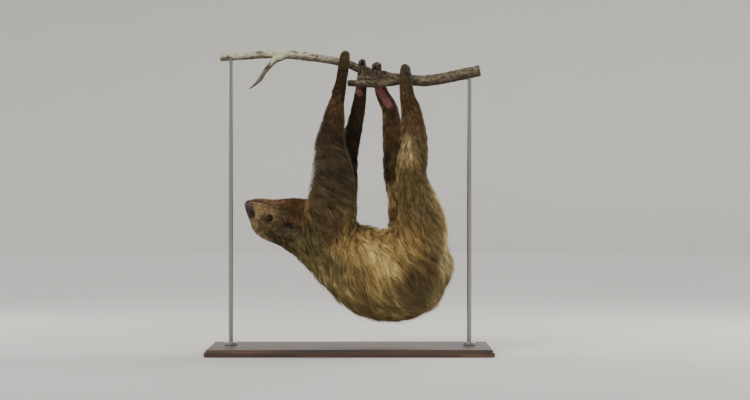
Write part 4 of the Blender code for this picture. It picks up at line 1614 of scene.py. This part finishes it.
class Effects:
    """Shader groups that the finishes share."""

    def __init__(self) -> None:
        """Builds each group once."""
        self.mottle = self.make_mottle()
        self.grain = self.make_grain()
        self.pores = self.make_pores()

    @staticmethod
    def start(name: str, output: str, **inputs: float) -> tuple[Tree, list[Socket], Socket]:
        """Begins a group with a vector and some numbers in, and one number out.

        Args:
            name: the group's name.
            output: its output's name.
            **inputs: its numbers and what they usually are.

        Returns:
            The group's tree, its inputs and its output.
        """
        group = bpy.data.node_groups.new(name, "ShaderNodeTree")
        face = group.interface
        face.new_socket("Vector", in_out="INPUT", socket_type="NodeSocketVector")
        for label, value in inputs.items():
            socket = face.new_socket(label, in_out="INPUT", socket_type="NodeSocketFloat")
            socket.default_value = value
        face.new_socket(output, in_out="OUTPUT", socket_type="NodeSocketFloat")
        tree = Tree(group)
        given, out = tree.add("NodeGroupInput"), tree.add("NodeGroupOutput")
        return tree, given.outputs[: 1 + len(inputs)], out.inputs[0]

    def make_mottle(self) -> Group:
        """Soft uneven patches, a factor about one.

        Returns:
            The group.
        """
        tree, (vector, scale, amount), out = self.start("mottle", "Factor", Scale=50.0, Amount=0.2)
        swing = tree.times(tree.maths("SUBTRACT", tree.noise(vector, scale, 3.0, 0.6)), 3.0)
        tree.feed(tree.maths("ADD", tree.times(swing, amount), 1.0), out)
        return tree.tree

    def make_grain(self) -> Group:
        """Fine lines along X, from nought to one.

        Returns:
            The group.
        """
        tree, (vector, scale, stretch), out = self.start("grain", "Line", Scale=80.0, Stretch=0.1)
        x, y, z = tree.add("SeparateXYZ", {0: vector}).outputs
        place = tree.get("CombineXYZ", {0: tree.times(x, stretch), 1: y, 2: z})
        inputs = {"Vector": place, "Scale": scale, "Detail": 5.0, "Distortion": 0.4}
        tree.feed(tree.window(tree.get("TexNoise", inputs), 0.3, 0.7), out)
        return tree.tree

    def make_pores(self) -> Group:
        """Small cobbles with creases between, from nought to one.

        Returns:
            The group.
        """
        tree, (vector, scale, crease), out = self.start("pores", "Height", Scale=700.0, Crease=0.3)
        height = tree.maths("DIVIDE", tree.edges(vector, scale), crease)
        tree.feed(tree.maths("MINIMUM", height, 1.0), out)
        return tree.tree


class Surface(Tree):
    """The tree of one material, with its shader and the object's own places."""

    def __init__(self, material: Material, effects: Effects) -> None:
        """Finds the shader and adds the places.

        Args:
            material: what the tree belongs to.
            effects: the shared shader groups.
        """
        super().__init__(material.node_tree)
        self.effects = effects
        self.shader = self.tree.nodes["Principled BSDF"]
        self.places = self.get("TexCoord", out="Object")

    def look(self, looks: dict[str, object]) -> None:
        """Links or sets the shader's inputs by their names."""
        for name, value in looks.items():
            self.feed(value, self.shader.inputs[name])

    def attribute(self, name: str, out: str = "Fac") -> Socket:
        """What the mesh stores at its points under a name."""
        return self.get("Attribute", out=out, attribute_name=name)

    def mottle(self, *values: float) -> Socket:
        """Soft uneven patches of a scale and an amount, a factor about one."""
        return self.effect(self.effects.mottle, *values)

    def grain(self, *values: float | Socket) -> Socket:
        """Fine lines along X of a scale and a stretch, from nought to one."""
        return self.effect(self.effects.grain, *values)

    def pores(self, *values: float | Socket) -> Socket:
        """Cobbles of a scale with creases of a width between, from nought to one."""
        return self.effect(self.effects.pores, *values)

    def effect(self, group: Group, first: float, second: float, at: Socket | None = None) -> Socket:
        """Places a shared effect with its own two values."""
        return self.get("Group", {0: at or self.places, 1: first, 2: second}, node_tree=group)

    def bent(self, scale: float, detail: float, reach: float, drawn: Socket | None = None) -> Socket:
        """Places shifted by noise, so that a pattern on them is ragged."""
        drift = self.noise(self.places, scale, detail, out=1)
        return self.vectors("ADD", drawn or self.places, self.vectors("MULTIPLY", drift, (reach,) * 3))

    def bump(self, height: Socket, distance: float, strength: float) -> None:
        """Raises the surface by a height."""
        inputs = {"Height": height, "Distance": distance, "Strength": strength}
        self.look({"Normal": self.get("Bump", inputs)})


@dataclass(frozen=True)
class Finish:
    """What every finish shares: a name and a way to make its material."""

    name: str
    effects: Effects

    def material(self) -> Material:
        """Makes the material and dresses it.

        Returns:
            The material.
        """
        made = bpy.data.materials.new(self.name)
        made.use_nodes = True
        self.dress(Surface(made, self.effects))
        return made

    def dress(self, tree: Surface) -> None:
        """Adds the finish's own nodes."""
        raise NotImplementedError


@dataclass(frozen=True)
class FurFinish(Finish):
    """Coarse, slightly dull hair with a soft gleam along its edges."""

    variation: float = 0.16
    sheen: float = 0.12
    roughness: float = 0.5

    def dress(self, tree: Surface) -> None:
        """Adds the coat's colours, a little uneven, and its gleam.

        Args:
            tree: the material's tree.
        """
        fine = tree.mottle(420.0, self.variation)
        broad = tree.mottle(46.0, self.variation)
        coat = tree.attribute(COAT_ATTRIBUTE, "Color")
        tree.look({
            "Base Color": tree.shaded(coat, tree.times(fine, broad)),
            "Roughness": tree.times(fine, self.roughness),
            "Specular IOR Level": 0.26,
            "Sheen Weight": self.sheen,
            "Sheen Roughness": 0.45,
            "Sheen Tint": (1.0, 0.84, 0.58, 1.0),
        })


@dataclass(frozen=True)
class HideFinish(Finish):
    """Skin: short flat hair, and bare cobbled leather on nose, palms and soles, with painted shade in its
    creases.
    """

    crease_shade_colour: Vec = tone(70, 34, 32)

    def dress(self, tree: Surface) -> None:
        """Adds the coat's colours, and creases darkened with painted shade and cobbles where the skin is
        bare.

        Args:
            tree: the material's tree.
        """
        bare = tree.attribute(BARE_ATTRIBUTE)
        patches = tree.mottle(160.0, 0.2)
        tint = tree.shaded(tree.attribute(COAT_ATTRIBUTE, "Color"), patches)
        # Painted shade: the bare skin darkens in its creases.
        cells = tree.edges(tree.bent(90.0, 2.0, 0.008), 170.0)
        crease = tree.times(tree.window(cells, 0.0, 0.09, 0.55, 0.0), bare)
        tree.look({
            "Base Color": tree.mix(crease, tint, self.crease_shade_colour),
            "Roughness": tree.times(tree.window(bare, 0.0, 1.0, 0.85, 0.55), patches),
            "Specular IOR Level": 0.3,
        })
        cobbles = tree.maths("SUBTRACT", tree.pores(900.0, 0.25), crease)
        height = tree.mix(bare, tree.grey(tree.grain(500.0, 0.25)), tree.grey(cobbles))
        tree.bump(tree.get("SeparateColor", {0: height}), 0.25 * MM, 0.7)


@dataclass(frozen=True)
class HornFinish(Finish):
    """Claws: dull brown horn, streaked along its length."""

    dark: Vec = tone(24, 19, 16)
    pale: Vec = tone(62, 50, 38)

    def dress(self, tree: Surface) -> None:
        """Adds the streaks.

        Args:
            tree: the material's tree.
        """
        lines, patches = tree.grain(420.0, 0.6), tree.mottle(120.0, 0.25)
        share = tree.times(lines, tree.times(patches, 0.6))
        tree.look({
            "Base Color": tree.mix(share, self.dark, self.pale),
            "Roughness": tree.window(lines, 0.0, 1.0, 0.48, 0.68),
            "Specular IOR Level": 0.3,
        })
        tree.bump(lines, 0.1 * MM, 0.5)


@dataclass(frozen=True)
class EyeFinish(Finish):
    """A dark brown eye with a black pupil, wet all over."""

    def dress(self, tree: Surface) -> None:
        """Adds pupil, iris and rim by the distance from the pupil's middle.

        Args:
            tree: the material's tree.
        """
        flecks = tree.mottle(1400.0, 0.25)
        colour = tree.ramp(
            tree.times(tree.attribute("Iris"), flecks),
            (0.00, tone(2, 2, 2)),
            (0.16, tone(3, 2, 2)),
            (0.24, tone(66, 40, 20)),
            (0.55, tone(56, 34, 18)),
            (0.68, tone(22, 14, 9)),
            (1.00, tone(24, 16, 13)),
        )
        rough = tree.times(flecks, 0.07)
        tree.look({"Base Color": colour, "Roughness": rough, "Specular IOR Level": 0.15})


@dataclass(frozen=True)
class BarkFinish(Finish):
    """Thin grey-brown bark with dark cracks, pale lichen and sawn ends."""

    def dress(self, tree: Surface) -> None:
        """Adds the bark in layers, and the wood of the sawn ends.

        Args:
            tree: the material's tree.
        """
        window = tree.window
        fibres, lines = tree.grain(620.0, 0.10), tree.grain(240.0, 0.22)
        drawn = tree.vectors("MULTIPLY", tree.places, (0.42, 1.0, 1.0))
        bent = tree.bent(130.0, 3.0, 0.009, drawn)
        scales = tree.pores(210.0, 0.16, bent)
        base = tree.ramp(
            tree.times(lines, tree.mottle(70.0, 0.5)),
            (0.0, tone(92, 80, 62)),
            (0.35, tone(138, 126, 104)),
            (1.0, tone(186, 178, 154)),
        )
        for share, *rest in self.cover(tree, fibres, scales, bent):
            base = tree.mix(share, base, *rest)
        ring = tree.attribute("Ring")
        rings = window(tree.maths("SINE", tree.times(ring, 42.0)), -1.0, 1.0)
        wood = tree.mix(rings, tone(204, 172, 124), tone(166, 128, 84))
        wood = tree.mix(window(ring, 0.82, 0.92), wood, tone(84, 64, 46))
        tree.look({
            "Base Color": tree.mix(window(ring, 0.01, 0.02), base, wood),
            "Roughness": window(lines, 0.0, 1.0, 0.95, 0.78),
        })
        height = tree.maths("ADD", tree.maths("ADD", lines, fibres), scales)
        tree.bump(height, 0.45 * MM, 0.9)

    @staticmethod
    def cover(tree: Surface, fibres: Socket, scales: Socket, bent: Socket) -> tuple:
        """What lies over the bark, from the lowest layer up.

        Args:
            tree: the material's tree.
            fibres: fine lines along the branch.
            scales: the cracks between the bark's scales.
            bent: places for ragged patterns.

        Returns:
            For each layer a share, a colour and perhaps a way of blending.
        """
        window, noise, places = tree.window, tree.noise, tree.places
        along = tree.get("SeparateXYZ", {0: places})
        crust, crack, under = (tree.attribute(name) for name in ("Crust", "Crack", "UnderShade"))
        flakes = tree.get("TexVoronoi", {"Vector": bent, "Scale": 520.0}, "Color")
        flaking = tree.ramp(
            tree.get("SeparateColor", {0: flakes}),
            (0.0, tone(30, 22, 17)),
            (0.35, tone(70, 48, 34)),
            (0.6, tone(128, 88, 62)),
            (0.85, tone(172, 154, 122)),
        )
        return (
            (window(fibres, 0.0, 0.6, 0.45, 0.0), tone(72, 59, 44)),
            (window(scales, 0.0, 0.8, 0.45, 0.0), tone(70, 57, 42)),
            # Lichen and moss.
            (window(noise(places, 115.0, 5.0, 0.65), 0.54, 0.60, 0.0, 0.85), tone(196, 196, 176)),
            (window(noise(places, 48.0, 4.0, 0.7), 0.55, 0.66, 0.0, 0.6), tone(118, 116, 74)),
            (tree.times(crust, 0.9), flaking),
            (tree.times(crack, 0.6), tone(50, 38, 28)),
            # Darker towards +X and paler towards -X.
            (window(along, -0.08, 0.10, 0.0, 0.62), tone(78, 66, 38), "MULTIPLY"),
            (window(along, -0.16, 0.0, 0.72, 0.0), tone(232, 228, 200)),
            # A blush, dark specks and painted shade on the underside.
            (window(noise(places, 34.0, 3.0), 0.50, 0.64, 0.0, 0.35), tone(164, 138, 110)),
            (window(noise(bent, 130.0, 5.0, 0.65), 0.52, 0.60, 0.0, 0.85), tone(60, 46, 33)),
            (window(under, 0.15, 0.75, 0.0, 0.8), tone(62, 47, 34)),
        )


@dataclass(frozen=True)
class WoodFinish(Finish):
    """The base's dark stained wood under a satin lacquer."""

    def dress(self, tree: Surface) -> None:
        """Adds the grain, its pores and the lacquer.

        Args:
            tree: the material's tree.
        """
        lines, pores = tree.grain(60.0, 0.08), tree.grain(520.0, 0.03)
        colour = tree.ramp(
            tree.times(lines, tree.mottle(9.0, 0.35)),
            (0.0, tone(42, 27, 20)),
            (0.5, tone(70, 45, 31)),
            (1.0, tone(98, 66, 44)),
        )
        tree.look({
            "Base Color": tree.mix(tree.window(pores, 0.0, 0.35, 0.6, 0.0), colour, tone(26, 17, 13)),
            "Roughness": tree.window(pores, 0.0, 1.0, 0.5, 0.34),
            "Coat Weight": 0.25,
            "Coat Roughness": 0.25,
        })
        tree.bump(pores, 0.08 * MM, 0.4)


@dataclass(frozen=True)
class SteelFinish(Finish):
    """Satin steel, drawn lengthways."""

    def dress(self, tree: Surface) -> None:
        """Adds fine lines along Z.

        Args:
            tree: the material's tree.
        """
        x, y, z = tree.add("SeparateXYZ", {0: tree.places}).outputs
        along = tree.get("CombineXYZ", {0: z, 1: x, 2: y})
        lines = tree.grain(900.0, 0.03, along)
        rough = tree.window(lines, 0.0, 1.0, 0.3, 0.4)
        tree.look({
            "Base Color": tree.mix(lines, tone(150, 150, 151), tone(172, 172, 173)),
            "Roughness": tree.times(rough, tree.mottle(18.0, 0.15)),
            "Metallic": 1.0,
        })
        tree.bump(lines, 0.03 * MM, 0.3)


@dataclass(frozen=True)
class FloorFinish(Finish):
    """A plain pale matt floor."""

    colour: Vec = (0.62, 0.61, 0.585)

    def dress(self, tree: Surface) -> None:
        """Adds faint patches."""
        tint = tree.shaded(self.colour, tree.mottle(1.5, 0.015))
        tree.look({"Base Color": tint, "Roughness": 0.85, "Specular IOR Level": 0.2})


@dataclass
class Eyeball:
    """One eye: a ball with a low cornea."""

    name: str
    seat: EyeSeat
    material: Material
    rings: int = 30
    sides: int = 40
    bulge: float = 0.05
    cornea: float = 0.62

    def build(self) -> Piece:
        """Makes the eye in its CAD node's place.

        Returns:
            The piece.
        """
        angles = np.linspace(0, math.pi, self.rings)
        radii = self.seat.radius * (1 + self.bulge * np.exp(-((angles / self.cornea) ** 4)))
        profile = [
            (float(r * math.sin(a)) if 0 < k < self.rings - 1 else 0.0, float(r * math.cos(a)))
            for k, (a, r) in enumerate(zip(angles, radii))
        ]
        points, faces = lathe(profile, self.sides)
        bend = np.arctan2(np.hypot(points[:, 0], points[:, 1]), points[:, 2])
        along, _, out = self.seat.axes()
        ball = oriented(points, along, np.cross(out, along), out, self.seat.middle)
        mesh = mesh_of(self.name, ball, flipped(faces))
        set_values(mesh, "Iris", bend / 1.2)
        made = new_object(f"{self.name}_ball", mesh, self.material)
        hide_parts(self.name)
        return made


@dataclass
class Ear:
    """A small cupped ear that lies back in the coat and mostly hides there."""

    name: str
    pelt: Pelt
    material: Material
    sides: int = 40
    share: float = 0.78
    cup: float = 0.42
    thick: float = 1.5 * MM
    tilt: float = math.radians(15.0)
    lift: float = 0.6 * MM

    def build(self) -> Piece:
        """Makes the ear on the skin under its CAD node.

        Returns:
            The piece.
        """
        middle, size = box_of(self.name)
        wide, high = size[0] / 2 * self.share, size[2] / 2 * self.share
        deep = self.cup * wide
        bowl = [(float(s), float(deep * (s**2.4 - 1))) for s in np.linspace(0, 1, 10)]
        back = [(1.05 * s, z - self.thick * (1.3 - 0.6 * s)) for s, z in bowl[::-1]]
        points, faces = lathe([*bowl, (1.06, 0.2 * MM), (1.08, -0.4 * MM), *back], self.sides)
        turn = np.arctan2(points[:, 1], points[:, 0])
        lobe = 1 + 0.07 * np.cos(turn * 2 + 0.6) + 0.05 * np.cos(3 * turn)
        points[:, 0] *= wide * lobe
        points[:, 1] *= high * lobe
        root, face = self.pelt.nearest(middle[None])
        normal, lie = self.pelt.normals[face[0]], self.pelt.coat.lie[face[0]]
        c, s = math.cos(self.tilt), math.sin(self.tilt)
        out, along = c * normal - s * lie, c * lie + s * normal
        place = root[0] + normal * self.lift
        solid = oriented(points, along, np.cross(out, along), out, place)
        mesh = mesh_of(self.name, solid, flipped(faces))
        # Painted shade: the cup darkens towards its hollow.
        hollow_shade = np.exp(-(((points[:, 0] / wide) ** 2 + (points[:, 1] / high) ** 2) / 0.35))[:, None]
        rim, dark = np.array(Tint.CROWN.value) * 0.7, np.array(Tint.NOSTRIL.value)
        set_colours(mesh, COAT_ATTRIBUTE, rim * (1 - hollow_shade) + dark * hollow_shade)
        set_values(mesh, BARE_ATTRIBUTE, np.full(len(points), 0.25))
        made = new_object(f"{self.name}_pinna", mesh, self.material)
        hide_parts(self.name)
        return made


@dataclass
class Claw:
    """One hooked claw, smoothed from its CAD node."""

    name: str
    material: Material
    levels: int = 2

    def build(self) -> Piece:
        """Makes the claw in its CAD node's place.

        Returns:
            The piece.
        """
        bm = bmesh.new()
        bm.from_mesh(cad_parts[self.name].data)
        bmesh.ops.remove_doubles(bm, verts=bm.verts, dist=0.02 * MM)
        flats = {"angle_face_threshold": 0.7, "angle_shape_threshold": 1.5}
        bmesh.ops.join_triangles(bm, faces=bm.faces, **flats)
        mesh = bpy.data.meshes.new(self.name)
        bm.to_mesh(mesh)
        bm.free()
        rough = new_object(f"{self.name}_rough", mesh)
        modifier = rough.modifiers.new("smooth", "SUBSURF")
        modifier.levels = modifier.render_levels = self.levels
        graph = bpy.context.evaluated_depsgraph_get()
        fine = bpy.data.meshes.new_from_object(rough.evaluated_get(graph))
        bpy.data.objects.remove(rough)
        smooth(fine)
        made = new_object(f"{self.name}_horn", fine, self.material)
        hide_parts(self.name)
        return made


@dataclass
class Branch:
    """The cut branch with its lower stem and twig."""

    material: Material
    voxel: float = 1.25 * MM
    rounds: int = 3
    ridge: float = 0.8 * MM
    lump: float = 1.5 * MM
    gnarled: Pair = (0.062, 0.055)
    grain: float = 0.5 * MM
    knot: Pair = (2.4 * MM, 7.0 * MM)
    knot_dip: Pair = (1.4 * MM, 2.6 * MM)
    cut_length: float = 1.2 * MM
    fade: float = 6 * MM
    twig_ends: float = -0.19
    twig_top: float = 0.709
    knots: tuple[Vec, ...] = (
        (-0.262, -0.008, 0.722),
        (-0.146, -0.01, 0.722),
        (-0.1, 0.006, 0.7),
        (0.052, -0.01, 0.676),
        (0.086, -0.011, 0.668),
        (0.112, -0.01, 0.662),
        (0.165, -0.012, 0.646),
        (0.215, -0.01, 0.668),
        (0.262, -0.012, 0.676),
    )
    scabs: tuple[tuple[float, ...], ...] = (
        (-0.112, -0.006, 0.703, 0.013),
        (-0.09, -0.008, 0.699, 0.012),
        (-0.186, -0.012, 0.702, 0.008),
        (-0.214, -0.014, 0.657, 0.009),
        (-0.258, -0.008, 0.708, 0.009),
        (0.2, -0.012, 0.648, 0.012),
        (0.262, -0.012, 0.66, 0.01),
    )

    def build(self) -> Piece:
        """Makes the branch in its CAD node's place.

        Returns:
            The piece.
        """
        points, triangles, _ = cad_shape(("branch",))
        shell = Volume(points, triangles, self.voxel, 3 * self.voxel).surface()
        shell = shell.smoothed(self.rounds)
        normals, points = shell.normals(), shell.points
        along = points[:, 0]
        end = np.minimum(along - along.min(), along.max() - along)
        cut = (np.abs(normals[:, 0]) > 0.7) & (end < self.cut_length)
        ridges = np.abs(clouds(points * (60, 230, 230)))
        lumps = clouds(points * 66, 0.65, 2.0, 5)
        bumps = clouds(points * 210, 0.8, 2.0, 3)
        crust = np.exp(-(((along - self.gnarled[0]) / self.gnarled[1]) ** 4))
        for *place, reach in self.scabs:
            crust = np.maximum(crust, self.spot(points, place, reach, 4))
        push = self.lump * (0.45 + 0.75 * crust) * lumps - 1.4 * self.ridge * ridges
        push += self.grain * (0.5 + 1.3 * crust) * bumps
        for place in self.knots:
            push += self.knot[0] * self.spot(points, place, self.knot[1], 2)
            push -= self.knot_dip[0] * self.spot(points, place, self.knot_dip[1], 2)
        push = np.where(cut, 0.0, push * (end / self.fade).clip(0.1, 1))
        mesh = mesh_of("branch_bark", points + normals * push[:, None], [shell.faces])
        ring = np.zeros(len(points))
        for side in (-1, 1):
            mine = cut & (along * side > 0)
            rest = points[mine, 1:] - points[mine, 1:].mean(0)
            apart = np.linalg.norm(rest, axis=1)
            ring[mine] = 0.05 + 0.95 * apart / apart.max()
        twig = ((self.twig_top - points[:, 2]) / (15 * MM)).clip(0, 1) * (along < self.twig_ends)
        # Painted shade where the bark faces down, broken by noise; the twig is darker lower down as well.
        under = 0.5 * clouds(points * 40) - 0.9 * normals[:, 2] + 0.18 + 0.9 * twig
        shares = {"Crack": ridges * 2.6 - 0.5, "Crust": crust * (0.7 + 1.6 * bumps), "UnderShade": under}
        for name, values in shares.items():
            set_values(mesh, name, values.clip(0, 1) * (1 - cut))
        set_values(mesh, "Ring", ring)
        made = new_object("branch_bark", mesh, self.material)
        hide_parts("branch")
        return made

    @staticmethod
    def spot(points: Array, place: Sequence[float], reach: float, edge: int) -> Array:
        """How much of a round spot's effect reaches each point: 1 in its middle."""
        return np.exp(-((np.linalg.norm(points - place, axis=1) / reach) ** edge))


# Turns the screw's axis from +Z to -Y.
SCREW_TURN = np.array([(1.0, 0.0, 0.0), (0.0, 0.0, 1.0), (0.0, -1.0, 0.0)])


@dataclass
class Stand:
    """The display stand: a flat base, two rods and their collars."""

    wood: Material
    steel: Material
    corner: float = 9 * MM
    corner_steps: int = 10
    rod_sides: int = 48
    screw_radius: float = 1.9 * MM
    rod_chamfer: float = 0.8 * MM
    collar_chamfer: float = 0.9 * MM
    collar_edge: float = 0.3 * MM
    collar_gap: float = 0.1 * MM
    # The base's edge from the bottom up, in millimetres.
    base_high: float = 18.0
    insets: tuple[float, ...] = (1.2, 0.3, 0.0, 0.0, 0.4, 1.4, 3.2, 4.0, 4.3, 4.6, 5.4, 6.8, 8.6)
    heights: tuple[float, ...] = (0, 0.4, 1.4, 9.6, 10.6, 11.2, 11.4, 11.8, 12.8, 15.2, 16.8, 17.7, 18)

    def ring(self, half: Array, inset: float, height: float) -> Array:
        """A rectangle with round corners.

        Args:
            half: half its width and length.
            inset: how much smaller it is on each side.
            height: where it lies.

        Returns:
            Its points, once round.
        """
        radius = max(self.corner - inset, MM)
        reach = half - inset - radius
        turns = np.linspace(0, math.pi / 2, self.corner_steps)
        parts = []
        for quarter, (sx, sy) in enumerate(((1, 1), (-1, 1), (-1, -1), (1, -1))):
            turn = turns + quarter * math.pi / 2
            x, y = sx * reach[0] + radius * np.cos(turn), sy * reach[1] + radius * np.sin(turn)
            parts.append(np.stack([x, y, np.full(len(turn), height)], 1))
        return np.concatenate(parts)

    def base(self) -> Piece:
        """Makes the base, a board with a stepped and rounded edge.

        Returns:
            The piece.
        """
        middle, size = box_of("stand_base")
        scale = size[2] / self.base_high
        rings = [
            self.ring(size[:2] / 2, inset * MM, high * scale - size[2] / 2) + middle
            for inset, high in zip(self.insets, self.heights)
        ]
        made = new_object("base_board", mesh_of("base_board", *stacked(rings)), self.wood, True)
        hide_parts("stand_base")
        return made

    def rod(self, end: str) -> Piece:
        """Makes one rod.

        Args:
            end: front or rear.

        Returns:
            The piece.
        """
        middle, size = box_of(f"stand_rod_{end}")
        radius, half = float(size[0]) / 2, float(size[2]) / 2
        chamfer = self.rod_chamfer
        profile = [(0.0, -half), (radius - chamfer, -half), (radius, -half + chamfer)]
        profile += [(radius, z) for z in np.linspace(-half + 0.02, half - 0.02, 24)]
        profile += [(radius, half - chamfer), (radius - chamfer, half), (0.0, half)]
        points, faces = lathe(profile, self.rod_sides)
        name = f"rod_{end}"
        made = new_object(name, mesh_of(name, points + middle, faces), self.steel, True)
        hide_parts(f"stand_rod_{end}")
        return made

    def collar(self, end: str) -> Piece:
        """Makes one collar with its grub screw.

        Args:
            end: front or rear.

        Returns:
            The piece.
        """
        node = f"stand_collar_{end}"
        middle, size = box_of(node)
        rod = float(box_of(f"stand_rod_{end}")[1][0]) / 2 + self.collar_gap
        radius, half = float(size[0]) / 2, float(size[2]) / 2
        c, edge = self.collar_chamfer, self.collar_edge
        profile = [(rod, -half), (radius - edge, -half), (radius, -half + edge)]
        profile += [(radius, half - c), (radius - 0.3 * c, half - 0.35 * c), (radius - c, half)]
        profile += [(rod + c, half), (rod, half - c), (rod, -half)]
        points, faces = lathe(profile, self.rod_sides * 2)
        grub, grub_faces = self.screw()
        grub = grub @ SCREW_TURN + (0, -radius, 0)
        all_faces = [*faces, *(part + len(points) for part in grub_faces)]
        joined = np.concatenate([points, grub]) + middle
        name = f"collar_{end}"
        made = new_object(name, mesh_of(name, joined, all_faces), self.steel, True)
        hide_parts(node)
        return made

    def screw(self) -> Solid:
        """A grub screw's end with its socket, about +Z.

        Returns:
            Its points and its faces.
        """
        radius, socket, back = self.screw_radius, -0.9 * MM, -2 * MM
        profile = [(0.0, socket), (radius * 0.45, socket), (radius * 0.5, 0.0)]
        profile += [(radius * 0.85, 0.15 * MM), (radius, -0.1 * MM), (radius, back), (0.0, back)]
        return lathe(profile, 24)


@dataclass
class Studio:
    """The floor, the lights and the camera."""

    floor_radius: float = 10.0
    rise: float = 2.4
    aim: Vec = (0.03, 0.0, 0.32)
    sky: Vec = (0.90, 0.91, 0.92)
    sky_strength: float = 0.62
    camera_at: Vec = (0.06, -5.0, 0.3672)
    lens: float = 100.0
    sensor: float = 36.0

    def floor(self, material: Material) -> Piece:
        """Makes the floor, which sweeps up far away on every side.

        Args:
            material: its finish.

        Returns:
            The floor.
        """
        profile = [(0.0, 0.0), (1.0, 0.0), (3.0, 0.0), (self.floor_radius, 0.0)]
        for turn in np.linspace(0, math.pi / 2, 20)[1:]:
            out = self.floor_radius + self.rise * math.sin(turn)
            profile.append((out, self.rise * (1 - math.cos(turn))))
        points, faces = lathe(profile, 96)
        made = new_object("floor", mesh_of("floor", points, faces), material)
        return made

    def lamp(self, name: str, at: Vec, size: float, power: float, colour: Vec) -> None:
        """Adds a light that faces the animal.

        Args:
            name: its name. An even light falls alike everywhere.
            at: where it stands.
            size: a square light's side, or an even one's angle.
            power: how strong it is.
            colour: its colour.
        """
        even = name.startswith("even")
        data = bpy.data.lights.new(name, "SUN" if even else "AREA")
        data.energy, data.color = power, colour
        setattr(data, "angle" if even else "size", size)
        made = bpy.data.objects.new(name, data)
        made.location = at
        aim = Vector(self.aim) - Vector(at)
        made.rotation_mode = "QUATERNION"
        made.rotation_quaternion = aim.to_track_quat("-Z", "Y")
        bpy.context.scene.collection.objects.link(made)

    def light(self) -> None:
        """Lights the set softly from the front and above, with rims behind."""
        self.lamp("even_key", (-1.6, -2.6, 3.2), 0.5, 1.75, (1.0, 0.97, 0.92))
        self.lamp("even_back", (1.4, 2.8, 2.6), 0.6, 0.85, (1.0, 0.98, 0.95))
        self.lamp("rim_right", (1.9, 0.9, 1.5), 0.7, 34.0, (1.0, 0.96, 0.88))
        self.lamp("rim_left", (-1.9, 1.3, 1.0), 0.7, 16.0, (1.0, 0.97, 0.92))
        world = bpy.data.worlds.new("studio")
        world.use_nodes = True
        background = world.node_tree.nodes["Background"]
        background.inputs["Color"].default_value = (*self.sky, 1.0)
        background.inputs["Strength"].default_value = self.sky_strength
        bpy.context.scene.world = world

    def camera(self) -> None:
        """Puts the camera level, in front of the animal's right side."""
        data = bpy.data.cameras.new("camera")
        data.lens, data.sensor_width = self.lens, self.sensor
        made = bpy.data.objects.new("camera", data)
        made.location = self.camera_at
        made.rotation_euler = (math.pi / 2, 0.0, 0.0)
        bpy.context.scene.collection.objects.link(made)
        bpy.context.scene.camera = made


def report(piece: Piece, slot: str) -> None:
    """Fixes a piece to the body and logs its size and its finish's slot.

    Args:
        piece: the piece.
        slot: its finish's slot.
    """
    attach(piece, BODY)
    log.info("%s: %d faces, slot %s", piece.name, len(piece.data.polygons), slot)


def build_animal(effects: Effects) -> None:
    """Makes the skin, the eyes, the ears, the claws and the coat.

    Args:
        effects: the shared shader groups.
    """
    fur = FurFinish("fur", effects).material()
    bare = HideFinish("hide", effects).material()
    horn = HornFinish("horn", effects).material()
    wet = EyeFinish("eye", effects).material()
    seats = {name: EyeSeat.of(name) for name in SIDES}
    coat = CoatField((*TRUNK_GUIDES, *HEAD_GUIDES, *LIMB_GUIDES), MARKINGS)
    hide = Hide(coat, tuple(seats.values()))
    report(hide.build(bare), "coat")
    pelt = Pelt.of(hide)
    for name, seat in seats.items():
        report(Eyeball(f"eye_{name}", seat, wet).build(), "eye")
        report(Ear(f"ear_{name}", pelt, bare).build(), "coat")
    for node in sorted(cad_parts):
        if "_claw_" in node:
            report(Claw(node, horn).build(), "claw")
    groomer = Groomer(pelt, seed=11, share=1.0)
    for kind in KINDS:
        for piece in groomer.build(kind, fur):
            report(piece, "coat")


def build_stand(effects: Effects) -> None:
    """Makes the branch and the display stand.

    Args:
        effects: the shared shader groups.
    """
    wood = WoodFinish("stained_wood", effects).material()
    stand = Stand(wood, SteelFinish("satin_steel", effects).material())
    report(Branch(BarkFinish("bark", effects).material()).build(), "bark")
    report(stand.base(), "stand_wood")
    for end in ("front", "rear"):
        report(stand.rod(end), "stand_steel")
        report(stand.collar(end), "stand_steel")


def main() -> None:
    """Builds everything in order."""
    logging.basicConfig(level=logging.INFO, format="%(message)s", force=True)
    effects = Effects()
    studio = Studio()
    studio.camera()
    studio.light()
    studio.floor(FloorFinish("floor", effects).material())
    build_animal(effects)
    build_stand(effects)


if __name__ == "__main__":
    main()
